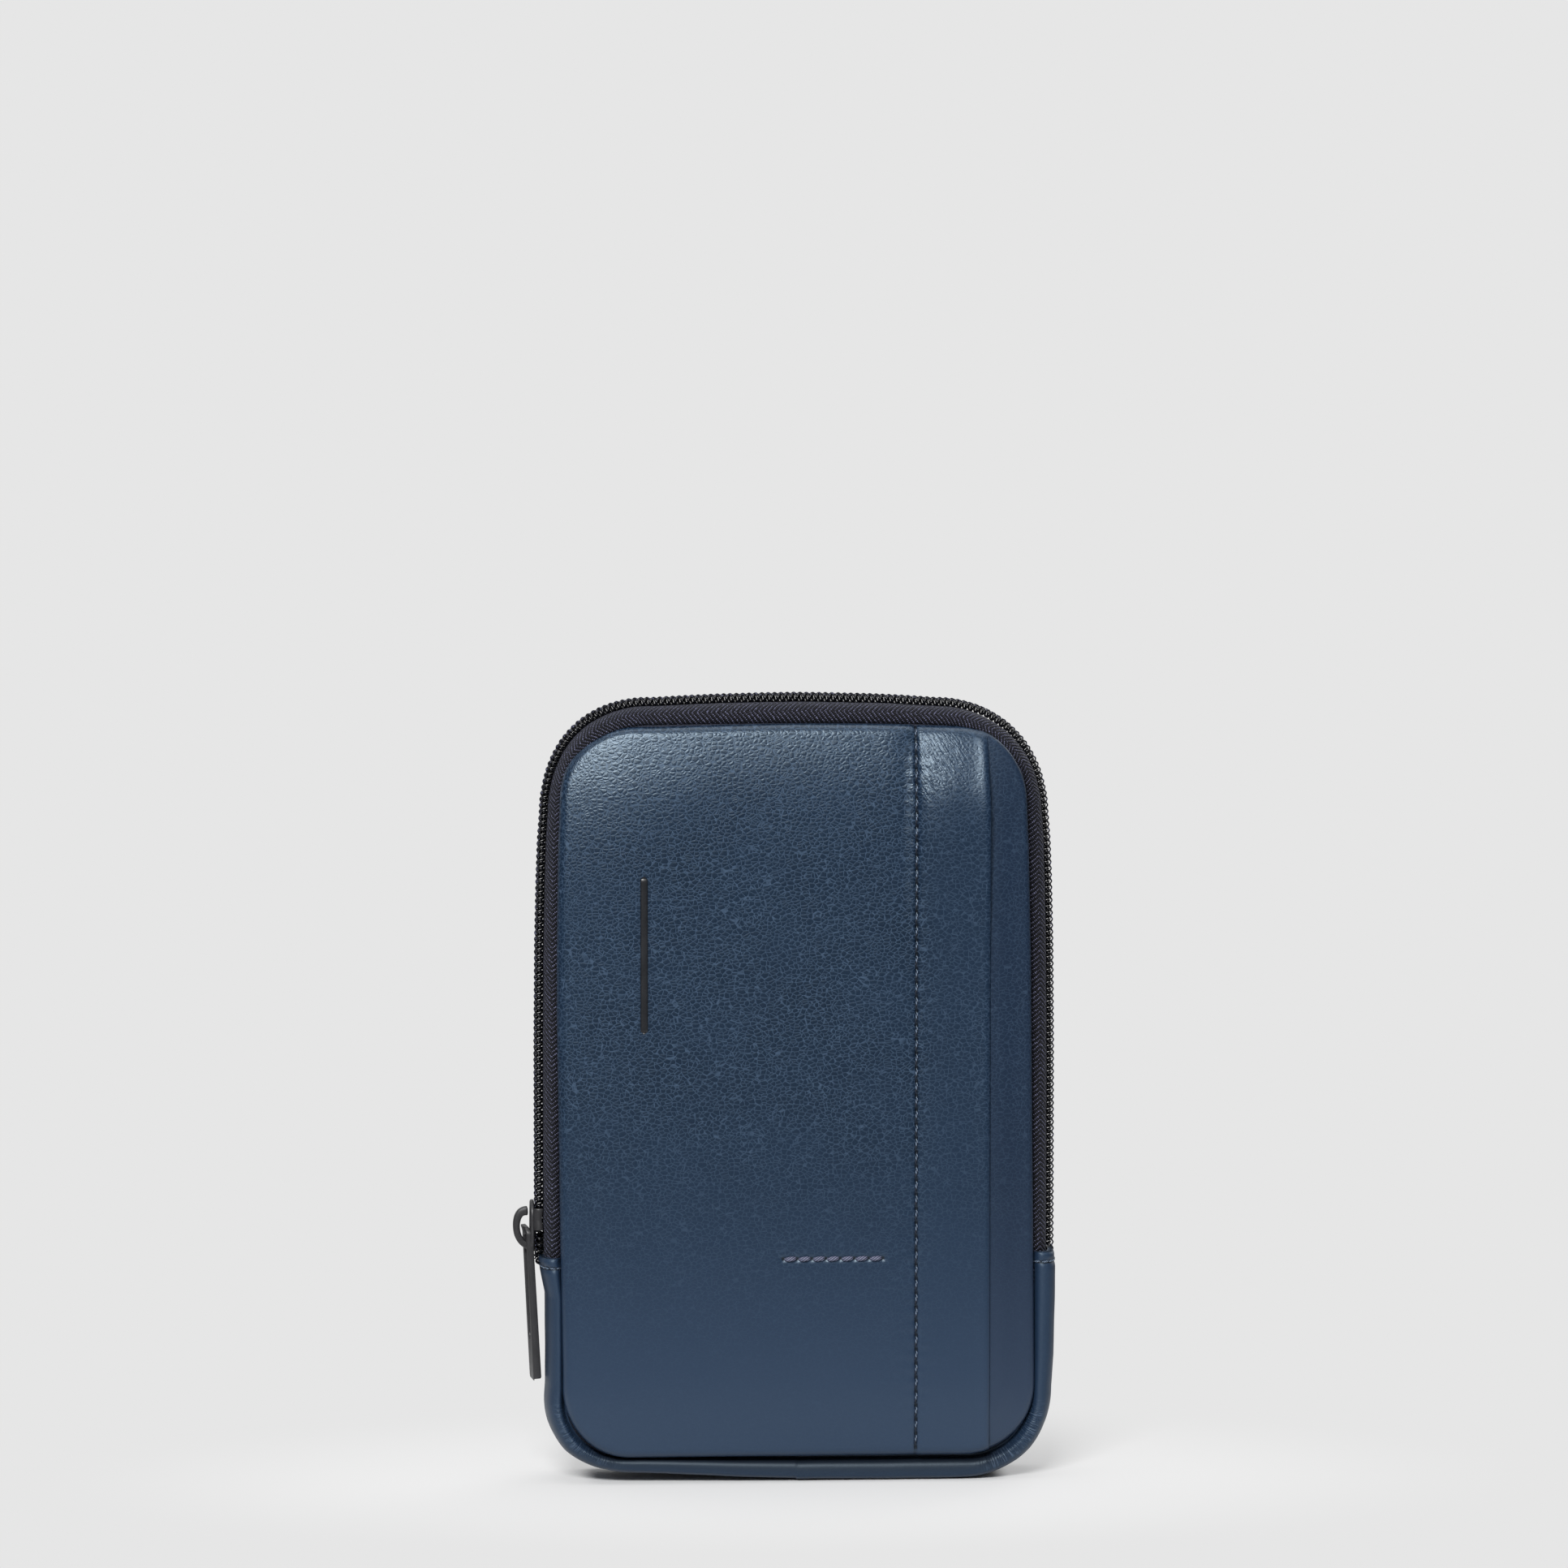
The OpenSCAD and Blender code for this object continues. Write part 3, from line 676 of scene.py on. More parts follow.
def inside(shape, x, z):
    """How far inside a rounded rectangle each point lies."""
    half, low, high, r_low, r_high = shape
    middle = (low + high) / 2
    r = np.where(z > middle, r_high, r_low)
    qx = np.abs(x) - (half - r)
    qz = np.abs(z - middle) - ((high - low) / 2 - r)
    outside = np.hypot(np.maximum(qx, 0), np.maximum(qz, 0))
    return r - outside - np.minimum(np.maximum(qx, qz), 0)


def half_width(shape, z):
    """Half the width of a rounded rectangle at a height."""
    half, low, high, r_low, r_high = shape
    top = min(max(z - (high - r_high), 0), r_high)
    foot = min(max(low + r_low - z, 0), r_low)
    return half - (r_high - math.sqrt(r_high ** 2 - top ** 2)) - (r_low - math.sqrt(r_low ** 2 - foot ** 2))


def roll(d, r):
    """How far a rounded edge of radius r has dropped at the distance d in from it."""
    k = np.clip(r - d, 0, r)
    return r - np.sqrt(np.maximum(r * r - k * k, 0))


def places(shape, step, limit=None, dense=None):
    """A grid of places over a rounded rectangle, cut off at x = limit and closer round x = dense."""
    inset = EDGE_STEPS[-1]
    rows = max(2, int((shape.high - shape.low - 2 * inset) / step))
    cols = max(2, int((2 * shape.half - 2 * inset) / step))
    z = np.r_[shape.low + EDGE_STEPS, np.linspace(shape.low + inset, shape.high - inset, rows + 1)[1:-1],
              shape.high - EDGE_STEPS[::-1]]
    x = []
    for height in z:
        w = half_width(shape, height)
        left = -w + EDGE_STEPS
        right = (w if limit is None else min(w, limit)) - EDGE_STEPS[::-1]
        middle = np.linspace(left[-1], right[0], cols + 1)[1:-1]
        if dense is not None:
            near, far = dense - DENSE_HALF, dense + DENSE_HALF
            middle = np.r_[np.linspace(left[-1], near, int(cols * 0.7))[1:-1], np.linspace(near, far, 25),
                           np.linspace(far, right[0], int(cols * 0.12) + 3)[1:-1]]
        x.append(np.r_[left, middle, right])
    return np.array(x), np.repeat(z[:, None], len(x[0]), 1)


def skins(x, front, back, z):
    """Two skins over one grid of places, joined round their edges."""
    points = np.vstack([np.stack([x.ravel(), skin.ravel(), z.ravel()], 1) for skin in (front, back)])
    index = np.arange(x.size).reshape(x.shape)
    edge = np.r_[index[0], index[1:, -1], index[-1, -2::-1], index[-2:0:-1, 0]].tolist()
    faces = grid(*x.shape).tolist() + (grid(*x.shape)[:, ::-1] + x.size).tolist()
    faces += [[a, a + x.size, b + x.size, b] for a, b in zip(edge, edge[1:] + edge[:1])]
    return points, faces


# How the front leans back towards its top edge
TOP_FALL = 1.6
TOP_REACH = 32.0


def top_fall(z):
    return TOP_FALL * part_way(z, PANEL.high - TOP_REACH, PANEL.high) ** 2


def skewed(x, z):
    """The front isn't quite square: its sides lean to the left going up, and its top drops at the left."""
    lean = 0.45 - np.where(x < 0, 1.25, 0.85) * part_way(z, 25, 110)
    lean -= 0.4 * part_way(z, 115, 150) * (x > 0)
    drop = 0.3 * part_way(z, 150, 170) * part_way(x, 0, -30)
    return x + lean * part_way(np.abs(x), FOLD_X, FOLD_X + 8), z - drop


# Leather panels: where the face stands, how thick the leather is, its edge's radius, how deep the face curves
# back along its edges and how far in, its share of the front's lean, where it is cut off, and its relief
Panel = namedtuple("Panel", "face thick radius crown reach fall limit relief", defaults=(None, None))


def lie(style, x, z):
    """How far behind its foremost plane a panel lies: by its broad curve, and by its edges and relief."""
    d = inside(PANEL, x, z)
    edge = roll(d, style.radius)
    crowned = d
    if style.limit is not None:
        edge = np.maximum(edge, roll(style.limit - x, FOLD_R))
        crowned = inside(PANEL, np.minimum(x, style.limit - 30.0), z)
    curve = style.crown * part_way(crowned, style.reach, 0) ** 2 + style.fall * top_fall(z)
    curve += 0.05 * wave(x + 0.4 * z, 3, 31) + 0.05 * wave(z - 0.3 * x, 5, 37)
    if style.relief is not None:
        edge = edge + style.relief(x, z, d)
    return curve, edge


def panel(style, step, side=-1, dense=None):
    """A leather panel with rolled edges, its face towards y = side."""
    x, z = places(PANEL, step, style.limit, dense)
    curve, edge = lie(style, x, z)
    front = style.face - curve - edge
    back = np.minimum(style.face - style.thick - curve, front - 0.3)
    if side < 0:
        x, z = skewed(x, z)
    points, faces = skins(x, side * front, side * back, z)
    if side > 0:
        faces = [face[::-1] for face in faces]
    turned = np.minimum(style.face - side * points[:, 1], 4.0) * part_way(np.abs(points[:, 0]), 46, 51)
    uv = np.stack([points[:, 0] + 0.8 * np.sign(points[:, 0]) * turned, points[:, 2]], 1)
    return points, faces, uv


def hem_lean(z):
    """The hem stands forward below the pocket's top, and leans back from there to its edge."""
    rise = part_way(z, PANEL.high - 62, PANEL.high - 20)
    return 0.264 * np.log1p(np.exp((z - PANEL.high + 17.0) / 2.2)) - 1.3 * eased(rise)


def pocket_relief(x, z, _):
    """The hem's stitched groove, holes and puckers, the swell beside it, and the dints of the tack row."""
    topness = part_way(z, 120, 170) ** 2
    phase = ROUND * (z - HEM_LOW) / HEM_PITCH
    groove = 0.3 * bell(x, HEM_X, 0.55) + (0.12 + 0.3 * topness) * bell(x, HEM_X - 0.6, 3.4)
    holes = 0.4 * bell(x, HEM_X, 0.34) * (0.5 + 0.5 * np.cos(phase)) ** 4
    beside = np.exp(-np.abs(x - HEM_X) / 1.5)
    pucker = (0.07 + 0.01 * topness) * beside * np.cos(phase + 0.6 * np.sign(x - HEM_X))
    swell = (0.05 + 0.35 * bell(z, PANEL.high - 20, 14)) * eased(part_way(x, HEM_X, HEM_X + 9))
    doubled = 0.14 * part_way(x, HEM_X, HEM_X + 1.2)
    ridge = 0.09 * bell(x, FOLD_X - 1.5, 0.9)
    corner = 2.2 * part_way(np.hypot(x + PANEL.half, z - PANEL.high), 38, 0) ** 2
    lean = hem_lean(z) * part_way(x, HEM_X - 2.5, HEM_X + 2.5)
    out = groove + holes + pucker - swell - doubled - ridge + corner + lean
    for k in range(TACKS + 1):
        out += 0.5 * bell(x, TACK_X + k * TACK_PITCH, 0.45) * bell(z, TACK_Z, 0.45)
    row = part_way(x, TACK_X - 1, TACK_X + 0.5) * part_way(x, TACK_END + 1, TACK_END - 0.5)
    return out + 0.16 * bell(z, TACK_Z, 0.8) * row


def base_relief(x, z, d):
    """The base leather sinks under the pocket's rim, and stands up against its folded edge."""
    sink = 1.6 * part_way(d, 9, 0) * part_way(x, FOLD_X - 1.5, FOLD_X - 3.5)
    stand = 1.1 * bell(x, FOLD_X - 0.5, 7.0) * part_way(d, 0, 7)
    return sink - stand * part_way(z, PANEL.high - 3, PANEL.high - 33)


POCKET = Panel(face=POCKET_FACE, thick=1.0, radius=2.1, crown=1.1, reach=18.0, fall=1.0, limit=FOLD_X,
               relief=pocket_relief)
BASE = Panel(face=BASE_FACE, thick=1.1, radius=1.4, crown=0.3, reach=9.0, fall=0.45, relief=base_relief)
BACK = Panel(face=BACK_FACE, thick=1.1, radius=1.6, crown=0.6, reach=16.0, fall=0.4)
piece("front_pocket_leather", panel(POCKET, 0.46, dense=HEM_X), mat_pocket, BENDING,
      halves("pocket_panel", BENDING))
piece("front_base_leather", panel(BASE, 1.0), mat_base, BENDING, halves("base_panel", BENDING))
piece("back_leather", panel(BACK, 0.8, side=1), mat_panel, "back_shell", ("back_panel",))


# Layers inside
LAYER_STEP = 3.0


def slab(low, high, radius, soft, fall=0.0, crown=0.0):
    """A flat layer between two corners, its edges rounded a little. It leans and curves with the front."""
    shape = Shape((high[0] - low[0]) / 2, low[2], high[2], radius, radius)
    x, z = places(shape, LAYER_STEP)
    d = inside(shape, x, z)
    lean = fall * top_fall(z) + crown * part_way(d, POCKET.reach, 0) ** 2
    edge = roll(d, soft)
    points, faces = skins(x + (high[0] + low[0]) / 2, low[1] + edge + lean, high[1] - edge + lean, z)
    return points, faces, points[:, [0, 2]]


def stretched(obj):
    """Reckons a lining's area against its width times its height, and does nothing with the result."""
    across, _, up = obj.dimensions
    area = sum(face.area for face in obj.data.polygons) / 2
    min(area, across * up)


# Each layer's name, body, CAD node, corner radius, edge radius, share of the front's lean, and crown
for name, body, node, radius, soft, fall, crown in (
        ("front_pocket_lining", BENDING, "pocket_lining", 14.0, 0.1, 1.1, 1.2),
        ("front_foam", BENDING, "front_padding", 15.0, 0.5, 0.5, 0.0),
        ("front_lining", BENDING, "front_lining", 15.0, 0.15, 0.5, 0.0),
        ("back_foam", "back_shell", "back_padding", 15.0, 0.5, 0.0, 0.0),
        ("back_lining_cloth", "back_shell", "back_lining", 15.0, 0.15, 0.0, 0.0)):
    nodes = halves(node, body)
    mesh = slab(*span(*nodes), radius, soft, fall, crown)
    if name.endswith("foam"):
        piece(name, mesh, mat_foam, body, nodes)
    else:
        stretched(piece(name, mesh, mat_lining, body, nodes))

# Card slots and the slip pocket, each with a row of stitches below its open edge
ROW_INSET = 3.0
ROW_PITCH = 3.0
ROW_DROP = 2.2
ROW_STITCH = 2.4
ROW_LIFT = 0.16
for node, body, out in (("card_slot_rear", "back_shell", -1), ("card_slot_middle", "back_shell", -1),
                        ("card_slot_front", "back_shell", -1), ("inner_slip_pocket", "front_cover", 1)):
    low, high = span(node)
    stretched(piece(node + "_cloth", slab(low, high, 2.5, 0.25), mat_lining, body, (node,)))
    face, z = (low if out < 0 else high)[1], high[2] - ROW_DROP
    row = []
    for k in range(int((high[0] - low[0] - 2 * ROW_INSET) / ROW_PITCH)):
        x = low[0] + ROW_INSET + ROW_PITCH * k
        row.append(stitch((x, face, z), (x + ROW_STITCH, face, z), (0, out * ROW_LIFT, 0), ROW_R, 6, 7))
    piece(node + "_stitches", merge(row), mat_thread, body)

# The gusset's section, as (y, u) points of its outer and inner skin from its seam to its middle
GUSSET_OUT = mirrored([(-9.3, -8.6), (-9.3, -7.2), (-9.1, -6.0), (-9.3, -5.2), (-10.1, -4.55),
                       (-10.75, -3.8), (-10.85, -2.9), (-10.35, -1.9), (-9.2, -1.05), (-7.4, -0.5),
                       (-5.0, -0.2), (-2.5, -0.05), (0, 0)])
GUSSET_IN = mirrored([(-8.6, -8.6), (-8.5, -7.2), (-8.3, -6.0), (-8.4, -5.2), (-9.0, -4.6), (-9.6, -3.8),
                      (-9.6, -3.0), (-9.1, -2.4), (-7.9, -1.8), (-5.0, -1.3), (-2.5, -1.15), (0, -1.1)])
LINING_OUT = mirrored([(-8.0, -9.6), (-8.0, -7.0), (-8.3, -5.6), (-8.8, -4.4), (-8.6, -3.5), (-7.6, -2.75),
                       (-5.0, -2.35), (0, -2.2)])
LINING_IN = mirrored([(-7.7, -9.6), (-7.7, -7.0), (-7.95, -5.7), (-8.35, -4.5), (-8.2, -3.8), (-7.3, -3.1),
                      (-5.0, -2.7), (0, -2.55)])
BOARD_Y = span("gusset_stiffener")[1][1]
BOARD = [(-BOARD_Y, -1.7), (0, -1.35), (BOARD_Y, -1.7), (BOARD_Y, -2.2), (0, -2.0), (-BOARD_Y, -2.2)]

# Where the strip is pinched in on the left, bulges on the right and stands out along the foot, and how far
PINCH_T = [END_T[-1] - 1, END_T[-1] + 1.5, END_T[-1] + 9, FOOT_T - 2.5, FOOT_T + 6.5, FOOT_T + 14.5,
           HALF - 44, HALF - 35, HALF - 24, HALF - 10, HALF]
PINCH_IN = [0, 0.1, 1.6, 1.7, 1.05, 0.9, 1.95, 1.95, 1.35, 0.6, 0.3]
BULGE_T = [END_T[1] - 1, END_T[1] + 4, FOOT_T - 20.5, FOOT_T - 8.5, FOOT_T - 1.5, FOOT_T + 8, FOOT_T + 14,
           FOOT_T + 22, HALF - 28, HALF]
BULGE_OUT = [0.65, 1.05, 0.95, 0.7, 0.2, 0.0, 0.2, 0.0, 0.0, -0.1]
FOOT_Y = [0, 5, 7.4, 9.2, 10.35, 10.85]
FOOT_OUT = [0, 0.12, 0.35, 0.72, 0.95, 0.6]


def gusset_warp(t, y, u):
    """How the strip really lies: pinched left, bulging right, square at the foot and flat at its ends."""
    left = np.where(t < 0, np.interp(-t, PINCH_T, PINCH_IN), 0)
    right = np.where(t > 0, np.interp(t, BULGE_T, BULGE_OUT), 0)
    shift = (right - left + 0.06 * wave(t, 21, 17)) * part_way(u, -7, -2)
    foot = part_way(np.abs(t), HALF - 50, HALF - 36) * np.interp(np.abs(y), FOOT_Y, FOOT_OUT)
    shift += foot * part_way(u, -4.2, -3.0)
    y = y - np.sign(y) * 1.2 * bell(u, -5.3, 0.7)
    for side in (-1, 1):
        from_end = t * side - END_T[side]
        seam = 0.3 * bell(from_end, STITCH_FROM_END, 0.65)
        lip = 0.35 * part_way(from_end, 0.9, 0) ** 2 * (np.abs(from_end) < 0.9)
        press = (seam + lip) * (np.abs(u) < 6.4)
        y = y * (1 - press / 10.5)
        shift -= press
    return y, u + shift


def down_from_end(side):
    """Distances along the rim from a gusset end to the foot's middle, closer beside the end."""
    return END_T[side] + np.r_[np.linspace(0, 8, 30), np.linspace(8, HALF - END_T[side], 330)[1:]]


def round_foot(section, t):
    """A strip that passes the foot's middle, where the distance along the rim changes sign."""
    points, faces, uv = sweep(t, section, gusset_warp)
    uv[:, 0] += np.where(uv[:, 0] < 0, 2 * HALF, 0)
    return points, faces, uv


t_gusset = np.r_[down_from_end(1), -down_from_end(-1)[-2::-1]]
section = np.vstack([smooth_line(GUSSET_OUT, 90), smooth_line(GUSSET_IN, 60)[::-1]])
piece("gusset_leather_strip", round_foot(section, t_gusset), mat_gusset, "back_shell", ("gusset_strip",))

section = np.vstack([smooth_line(LINING_OUT, 40), smooth_line(LINING_IN, 40)[::-1]])
piece("gusset_lining_cloth", round_foot(section, t_gusset[::3]), mat_lining, "back_shell", ("gusset_lining",))
piece("gusset_board", round_foot(np.array(BOARD), t_gusset[20:-20:3]), mat_board, "back_shell",
      ("gusset_stiffener",))

# The rows of stitches across the gusset's ends
END_PITCH = 1.75
END_MARGIN = 4.2
END_LIFT, END_GAP, END_SLANT = 0.2, 0.02, 0.15
line = smooth_line(GUSSET_OUT, 400)
length = travelled(line)
rows = []
for side in (-1, 1):
    t = np.array([side * (END_T[side] + STITCH_FROM_END)] * 2)
    for k in range(int((length[-1] - 2 * END_MARGIN) / END_PITCH)):
        at = END_MARGIN + END_PITCH * k + np.array([0.2, 1.5])
        y, u = (np.interp(at, length, line[:, axis]) for axis in (0, 1))
        first, second = on_rim(t, *gusset_warp(t, y, u))
        middle = (first + second) / 2
        out = np.array([middle[0] - side * (RIM.half - 5.0), middle[1], 0])
        if abs(middle[1]) <= 6:
            out[1] *= 0.15
        out /= np.linalg.norm(out)
        first, second = first + END_GAP * out, second + END_GAP * out + (0, 0, END_SLANT)
        rows.append(stitch(first, second, END_LIFT * out, END_R, 6, 9))
piece("gusset_end_stitches", merge(rows), mat_thread, "back_shell", settled=False)


# Zip tapes
TAPE_TAIL = 6.0
SHOULDER = (5.0, -5.9)
SHOULDER_R = 4.6


def tape_section(side):
    """A tape from its seam up over the shoulder to its edge beside the coil."""
    a = np.linspace(0, QUARTER, 16)
    shoulder = np.array(SHOULDER) + SHOULDER_R * np.stack([np.cos(a), np.sin(a)], 1)
    out = smooth_line(np.vstack([[(9.45, -8.6), (9.6, -7.2), (9.6, -6.2)], shoulder,
                                 [(4.0, -1.3), (3.0, -1.3), (2.2, -1.3), (1.45, -1.35)]]), 48)
    tangent = directions(out)
    inner = out + TAPE_THICK * np.stack([-tangent[:, 1], tangent[:, 0]], 1)
    return np.vstack([out, inner[::-1]]) * (side, 1)


def tape_warp(t, y, u):
    """A tape that lies in soft waves, and is drawn in where it goes down to its seam."""
    ripple = 0.09 * wave(t, 31, 9) + 0.05 * wave(t, 33, 3.7)
    high = part_way(np.abs(t), CORNER_T + 8, CORNER_T - 8)
    dive = 1.5 * bell(u, -5.3 - 1.2 * high, 0.8)
    y = y + np.sign(y) * (ripple * part_way(np.abs(y), 4, 7) - dive)
    return y, u + 0.6 * ripple * part_way(u, -8, -3)


tape_end = along_side(gusset_high[2] - TAPE_TAIL)
for side, name, body in SIDES:
    points, faces, uv = sweep(np.linspace(-tape_end, tape_end, 700), tape_section(side), tape_warp)
    if side > 0:
        faces = [face[::-1] for face in faces]
    nodes = halves("zip_tape_" + name, body)
    piece(name + "_zip_tape", (points, faces, uv), mat_tape, body, nodes)


# Zip coils
def parted(t):
    """How far each half of the coil gives way to the slider's post."""
    return (POST_HALF + COIL_BITE + 0.15) * bell(t, -along_side(POST_Z), 2.6)


def coil(side, t_start, t_end, phase):
    """One half of the zip: a nylon filament wound into flattened loops that lock with the other half's."""
    per_turn, sides = 18, 8
    n = int((t_end - t_start) / TOOTH_PITCH) * per_turn + 1
    turn = np.arange(n) / per_turn
    a = ROUND * turn
    half_y = (COIL_HEEL + COIL_BITE) / 2 - FILAMENT_R
    half_u = (CREST_U + TAPE_DROP) / 2 - FILAMENT_R
    t = t_start + TOOTH_PITCH * (turn + phase)
    y = side * ((COIL_HEEL - COIL_BITE) / 2 + half_y * squarer(np.cos(a), 0.8) + parted(t))
    u = (CREST_U - TAPE_DROP) / 2 + half_u * squarer(np.sin(a), 0.7)
    dy, du = np.gradient(y), np.gradient(u)
    size = np.hypot(dy, du) + 1e-9
    head = part_way(-side * y, -0.1, 0.3)
    wide = FILAMENT_R * (1 + 0.22 * head)
    thin = FILAMENT_R * (1 - 0.08 * head) / size
    ring = np.arange(sides) * ROUND / sides
    across, along = np.cos(ring)[None, :], np.sin(ring)[None, :]
    y = y[:, None] + (du * thin)[:, None] * across
    u = u[:, None] - (dy * thin)[:, None] * across
    t = t[:, None] + wide[:, None] * along
    uv = np.stack([np.repeat(a, sides), np.tile(ring, n)], 1)
    return on_rim(t.ravel(), y.ravel(), u.ravel()), capped(n, sides), uv


def sewing(side, t_start, t_end, y):
    """The thread that holds a coil to its tape, over one turn after the other."""
    t = np.linspace(t_start, t_end, int((t_end - t_start) / TOOTH_PITCH) * 8)
    u = CREST_U - 0.12 + 0.16 * np.cos(ROUND * (t - t_start) / TOOTH_PITCH)
    return tube(on_rim(t, side * (y + parted(t)), u), SEWING_R, 6)


coil_start = -along_side(GUSSET_TOP[-1] - 2.0)
coil_end = along_side(GUSSET_TOP[1] - 2.0)
for side, name, body in SIDES:
    chain = coil(side, coil_start, coil_end - TOOTH_PITCH, 0.0 if side < 0 else 0.5)
    piece(name + "_zip_coil", chain, mat_coil, body, halves("zip_coil_" + name, body))
    thread = sewing(side, coil_start + 1, coil_end - 1, 2.15)
    piece(name + "_zip_sewing", thread, mat_tape, body)


# Bindings over the inner seams, their section in (y, u) from the binding's inner face and outer reach
BINDING = [(0.75, 0.0), (0.75, -2.0), (0.7, -4.0), (0.25, -4.25), (-0.05, -3.6), (0.0, -2.0), (0.05, -0.3),
           (0.75, 0.0)]
binding_low, binding_high = span("back_seam_binding")
t_ring = np.linspace(-HALF, HALF, 420)[:-1]
for side, name, body in SIDES:
    section = smooth_line(np.array(BINDING) + (binding_low[1], binding_high[0] - RIM.half), 25)[:-1]
    section = (section * (side, 1))[::-side]
    points, _, uv = sweep(t_ring, section)
    faces = grid(len(t_ring), len(section), wrap_rows=True, wrap_cols=True).tolist()
    node = name + "_seam_binding"
    piece(node + "_cloth", (points, faces, uv), mat_binding, body, halves(node, body))


# Stitches on the pocket
def pocket_y(x, z):
    """Where the pocket leather's face stands at a place."""
    curve, edge = lie(POCKET, np.array([float(x)]), np.array([float(z)]))
    return curve[0] + edge[0] - POCKET_FACE


def hem_stitch(z):
    """A slanting stitch that comes up out of its lower hole and crests at its upper one."""
    f = np.linspace(0, 1, 11)
    arch = np.sin(math.pi * f)
    y = pocket_y(HEM_X, z + HEM_PITCH / 2) + 0.04 - 0.36 * arch ** 0.8 * (0.2 + 0.8 * f)
    y[0] += 0.3
    y[-1] += 0.35
    centre = np.stack([HEM_X - 0.16 + 0.36 * f ** 2, y, z + 0.42 + (HEM_PITCH - 0.95) * f], 1)
    return tube(centre, 0.15 + 0.07 * arch, 8, across=(0, -1, 0))


rows = [hem_stitch(HEM_LOW + HEM_PITCH * k) for k in range(HEM_COUNT - 1)]
piece("hem_stitches", merge(rows), mat_hem, BENDING)

# A plain slim bar where the photograph has raised lettering, which the part leaves off
BAR_X, BAR_LOW, BAR_HIGH, BAR_HALF, BAR_PROUD = -35.0, 103.2, 139.0, 0.85, 0.42
BAR_RINGS, BAR_SIDES = 60, 11
ring = np.linspace(0, math.pi, BAR_SIDES)
points = []
for z in np.linspace(BAR_LOW, BAR_HIGH, BAR_RINGS):
    from_tip = part_way(min(z - BAR_LOW, BAR_HIGH - z), 0, BAR_HALF)
    k = math.sqrt(max(1 - (1 - from_tip) ** 2, 0.02))
    x = BAR_X + BAR_HALF * k * squarer(np.cos(ring), 0.5)
    y = pocket_y(BAR_X, z) + 0.06 - BAR_PROUD * k * squarer(np.sin(ring), 0.5)
    points.append(np.stack([x, y, np.full(BAR_SIDES, z)], 1))
points = np.concatenate(points)
piece("front_trim_bar", (points, capped(BAR_RINGS, BAR_SIDES), points[:, [0, 2]]), mat_trim, "front_cover")

TACK_GAP = 0.52
TACK_SLANT = 0.14
TACK_LIFT = 0.3
rows = []
for k in range(TACKS):
    x = TACK_X + TACK_PITCH * k
    y = pocket_y(x + TACK_PITCH / 2, TACK_Z) - 0.02
    a, b = (x + TACK_GAP, y, TACK_Z - TACK_SLANT), (x + TACK_PITCH - TACK_GAP, y, TACK_Z + TACK_SLANT)
    rows.append(stitch(a, b, (0, -TACK_LIFT, 0), TACK_R, 12, 15, 0.6))
piece("tack_stitches", merge(rows), mat_heavy, "back_shell")


# The slider, in (u, y, z): out of the rim's line, across the zip, and up from the slider's middle
SLIDER_Z = (slider_low[2] + slider_high[2]) / 2
SLIDER_HALF = (slider_high[2] - slider_low[2]) / 2
CROWN = (0.8, 1.85)
SOLE = (-4.2, -3.25)
POST = (-3.4, 1.0)
POST_MIDDLE, POST_LONG = -3.8, 1.8
FLANGE_L, FLANGE_LOW, FLANGE_Y, FLANGE_TOP, FLANGE_EDGE = 5.0, -1.15, 4.35, 0.95, 0.12
BRIDGE = [(1.3, -4.75), (2.6, -4.35), (3.75, -3.4), (4.55, -1.9), (4.82, 0.0), (4.6, 1.75), (3.95, 2.95),
          (3.1, 3.42), (2.2, 3.5)]
BRIDGE_HALF = 1.1
BRIDGE_RINGS, BRIDGE_SIDES = 48, 16


def outward(loop):
    """The outward normals of an anticlockwise loop, in its own plane."""
    tangent = np.roll(loop, -1, 0) - np.roll(loop, 1, 0)
    tangent /= np.linalg.norm(tangent, axis=1)[:, None]
    return np.stack([tangent[:, 1], -tangent[:, 0]], 1)


def plate(outline, reach, edge, camber, steps=6):
    """A cast plate from its outline in (y, z), its edges rounded and its outer face cambered."""
    low, high = reach
    normal = outward(outline)
    a = np.linspace(0, QUARTER, steps)
    insets = [(edge * (1 - math.sin(k)), low + edge * (1 - math.cos(k)) * 0.9) for k in a]
    insets += [(edge * (1 - math.cos(k)), high - edge * (1 - math.sin(k))) for k in a]
    rings = [(u, outline - normal * inset) for inset, u in insets]
    rings = [(low, rings[0][1] * share) for share in (0.1, 0.5)] + rings
    rings += [(high, rings[-1][1] * share) for share in (0.8, 0.55, 0.3, 0.1)]
    points = np.concatenate([np.column_stack([np.full(len(loop), u), loop]) for u, loop in rings])
    outer = points[:, 0] > (low + high) / 2
    points[:, 0] -= outer * camber * ((points[:, 1] / 5) ** 2 * 0.6 + (points[:, 2] / 6) ** 2 * 0.4)
    return points, capped(len(rings), len(outline)), points[:, 1:]


def slider_outline(half_tail=4.4, half_nose=5.0, n=64):
    """The slider's face: a wide nose below with rounded shoulders, and a narrower tail above."""
    a = np.arange(n) * ROUND / n
    z = SLIDER_HALF * squarer(np.sin(a), 0.75)
    width = half_nose + (half_tail - half_nose) * part_way(z, -SLIDER_HALF, SLIDER_HALF)
    width -= 0.35 * bell(z, 0.6, 2.2)
    return np.stack([width * squarer(np.cos(a), 0.6), z], 1)


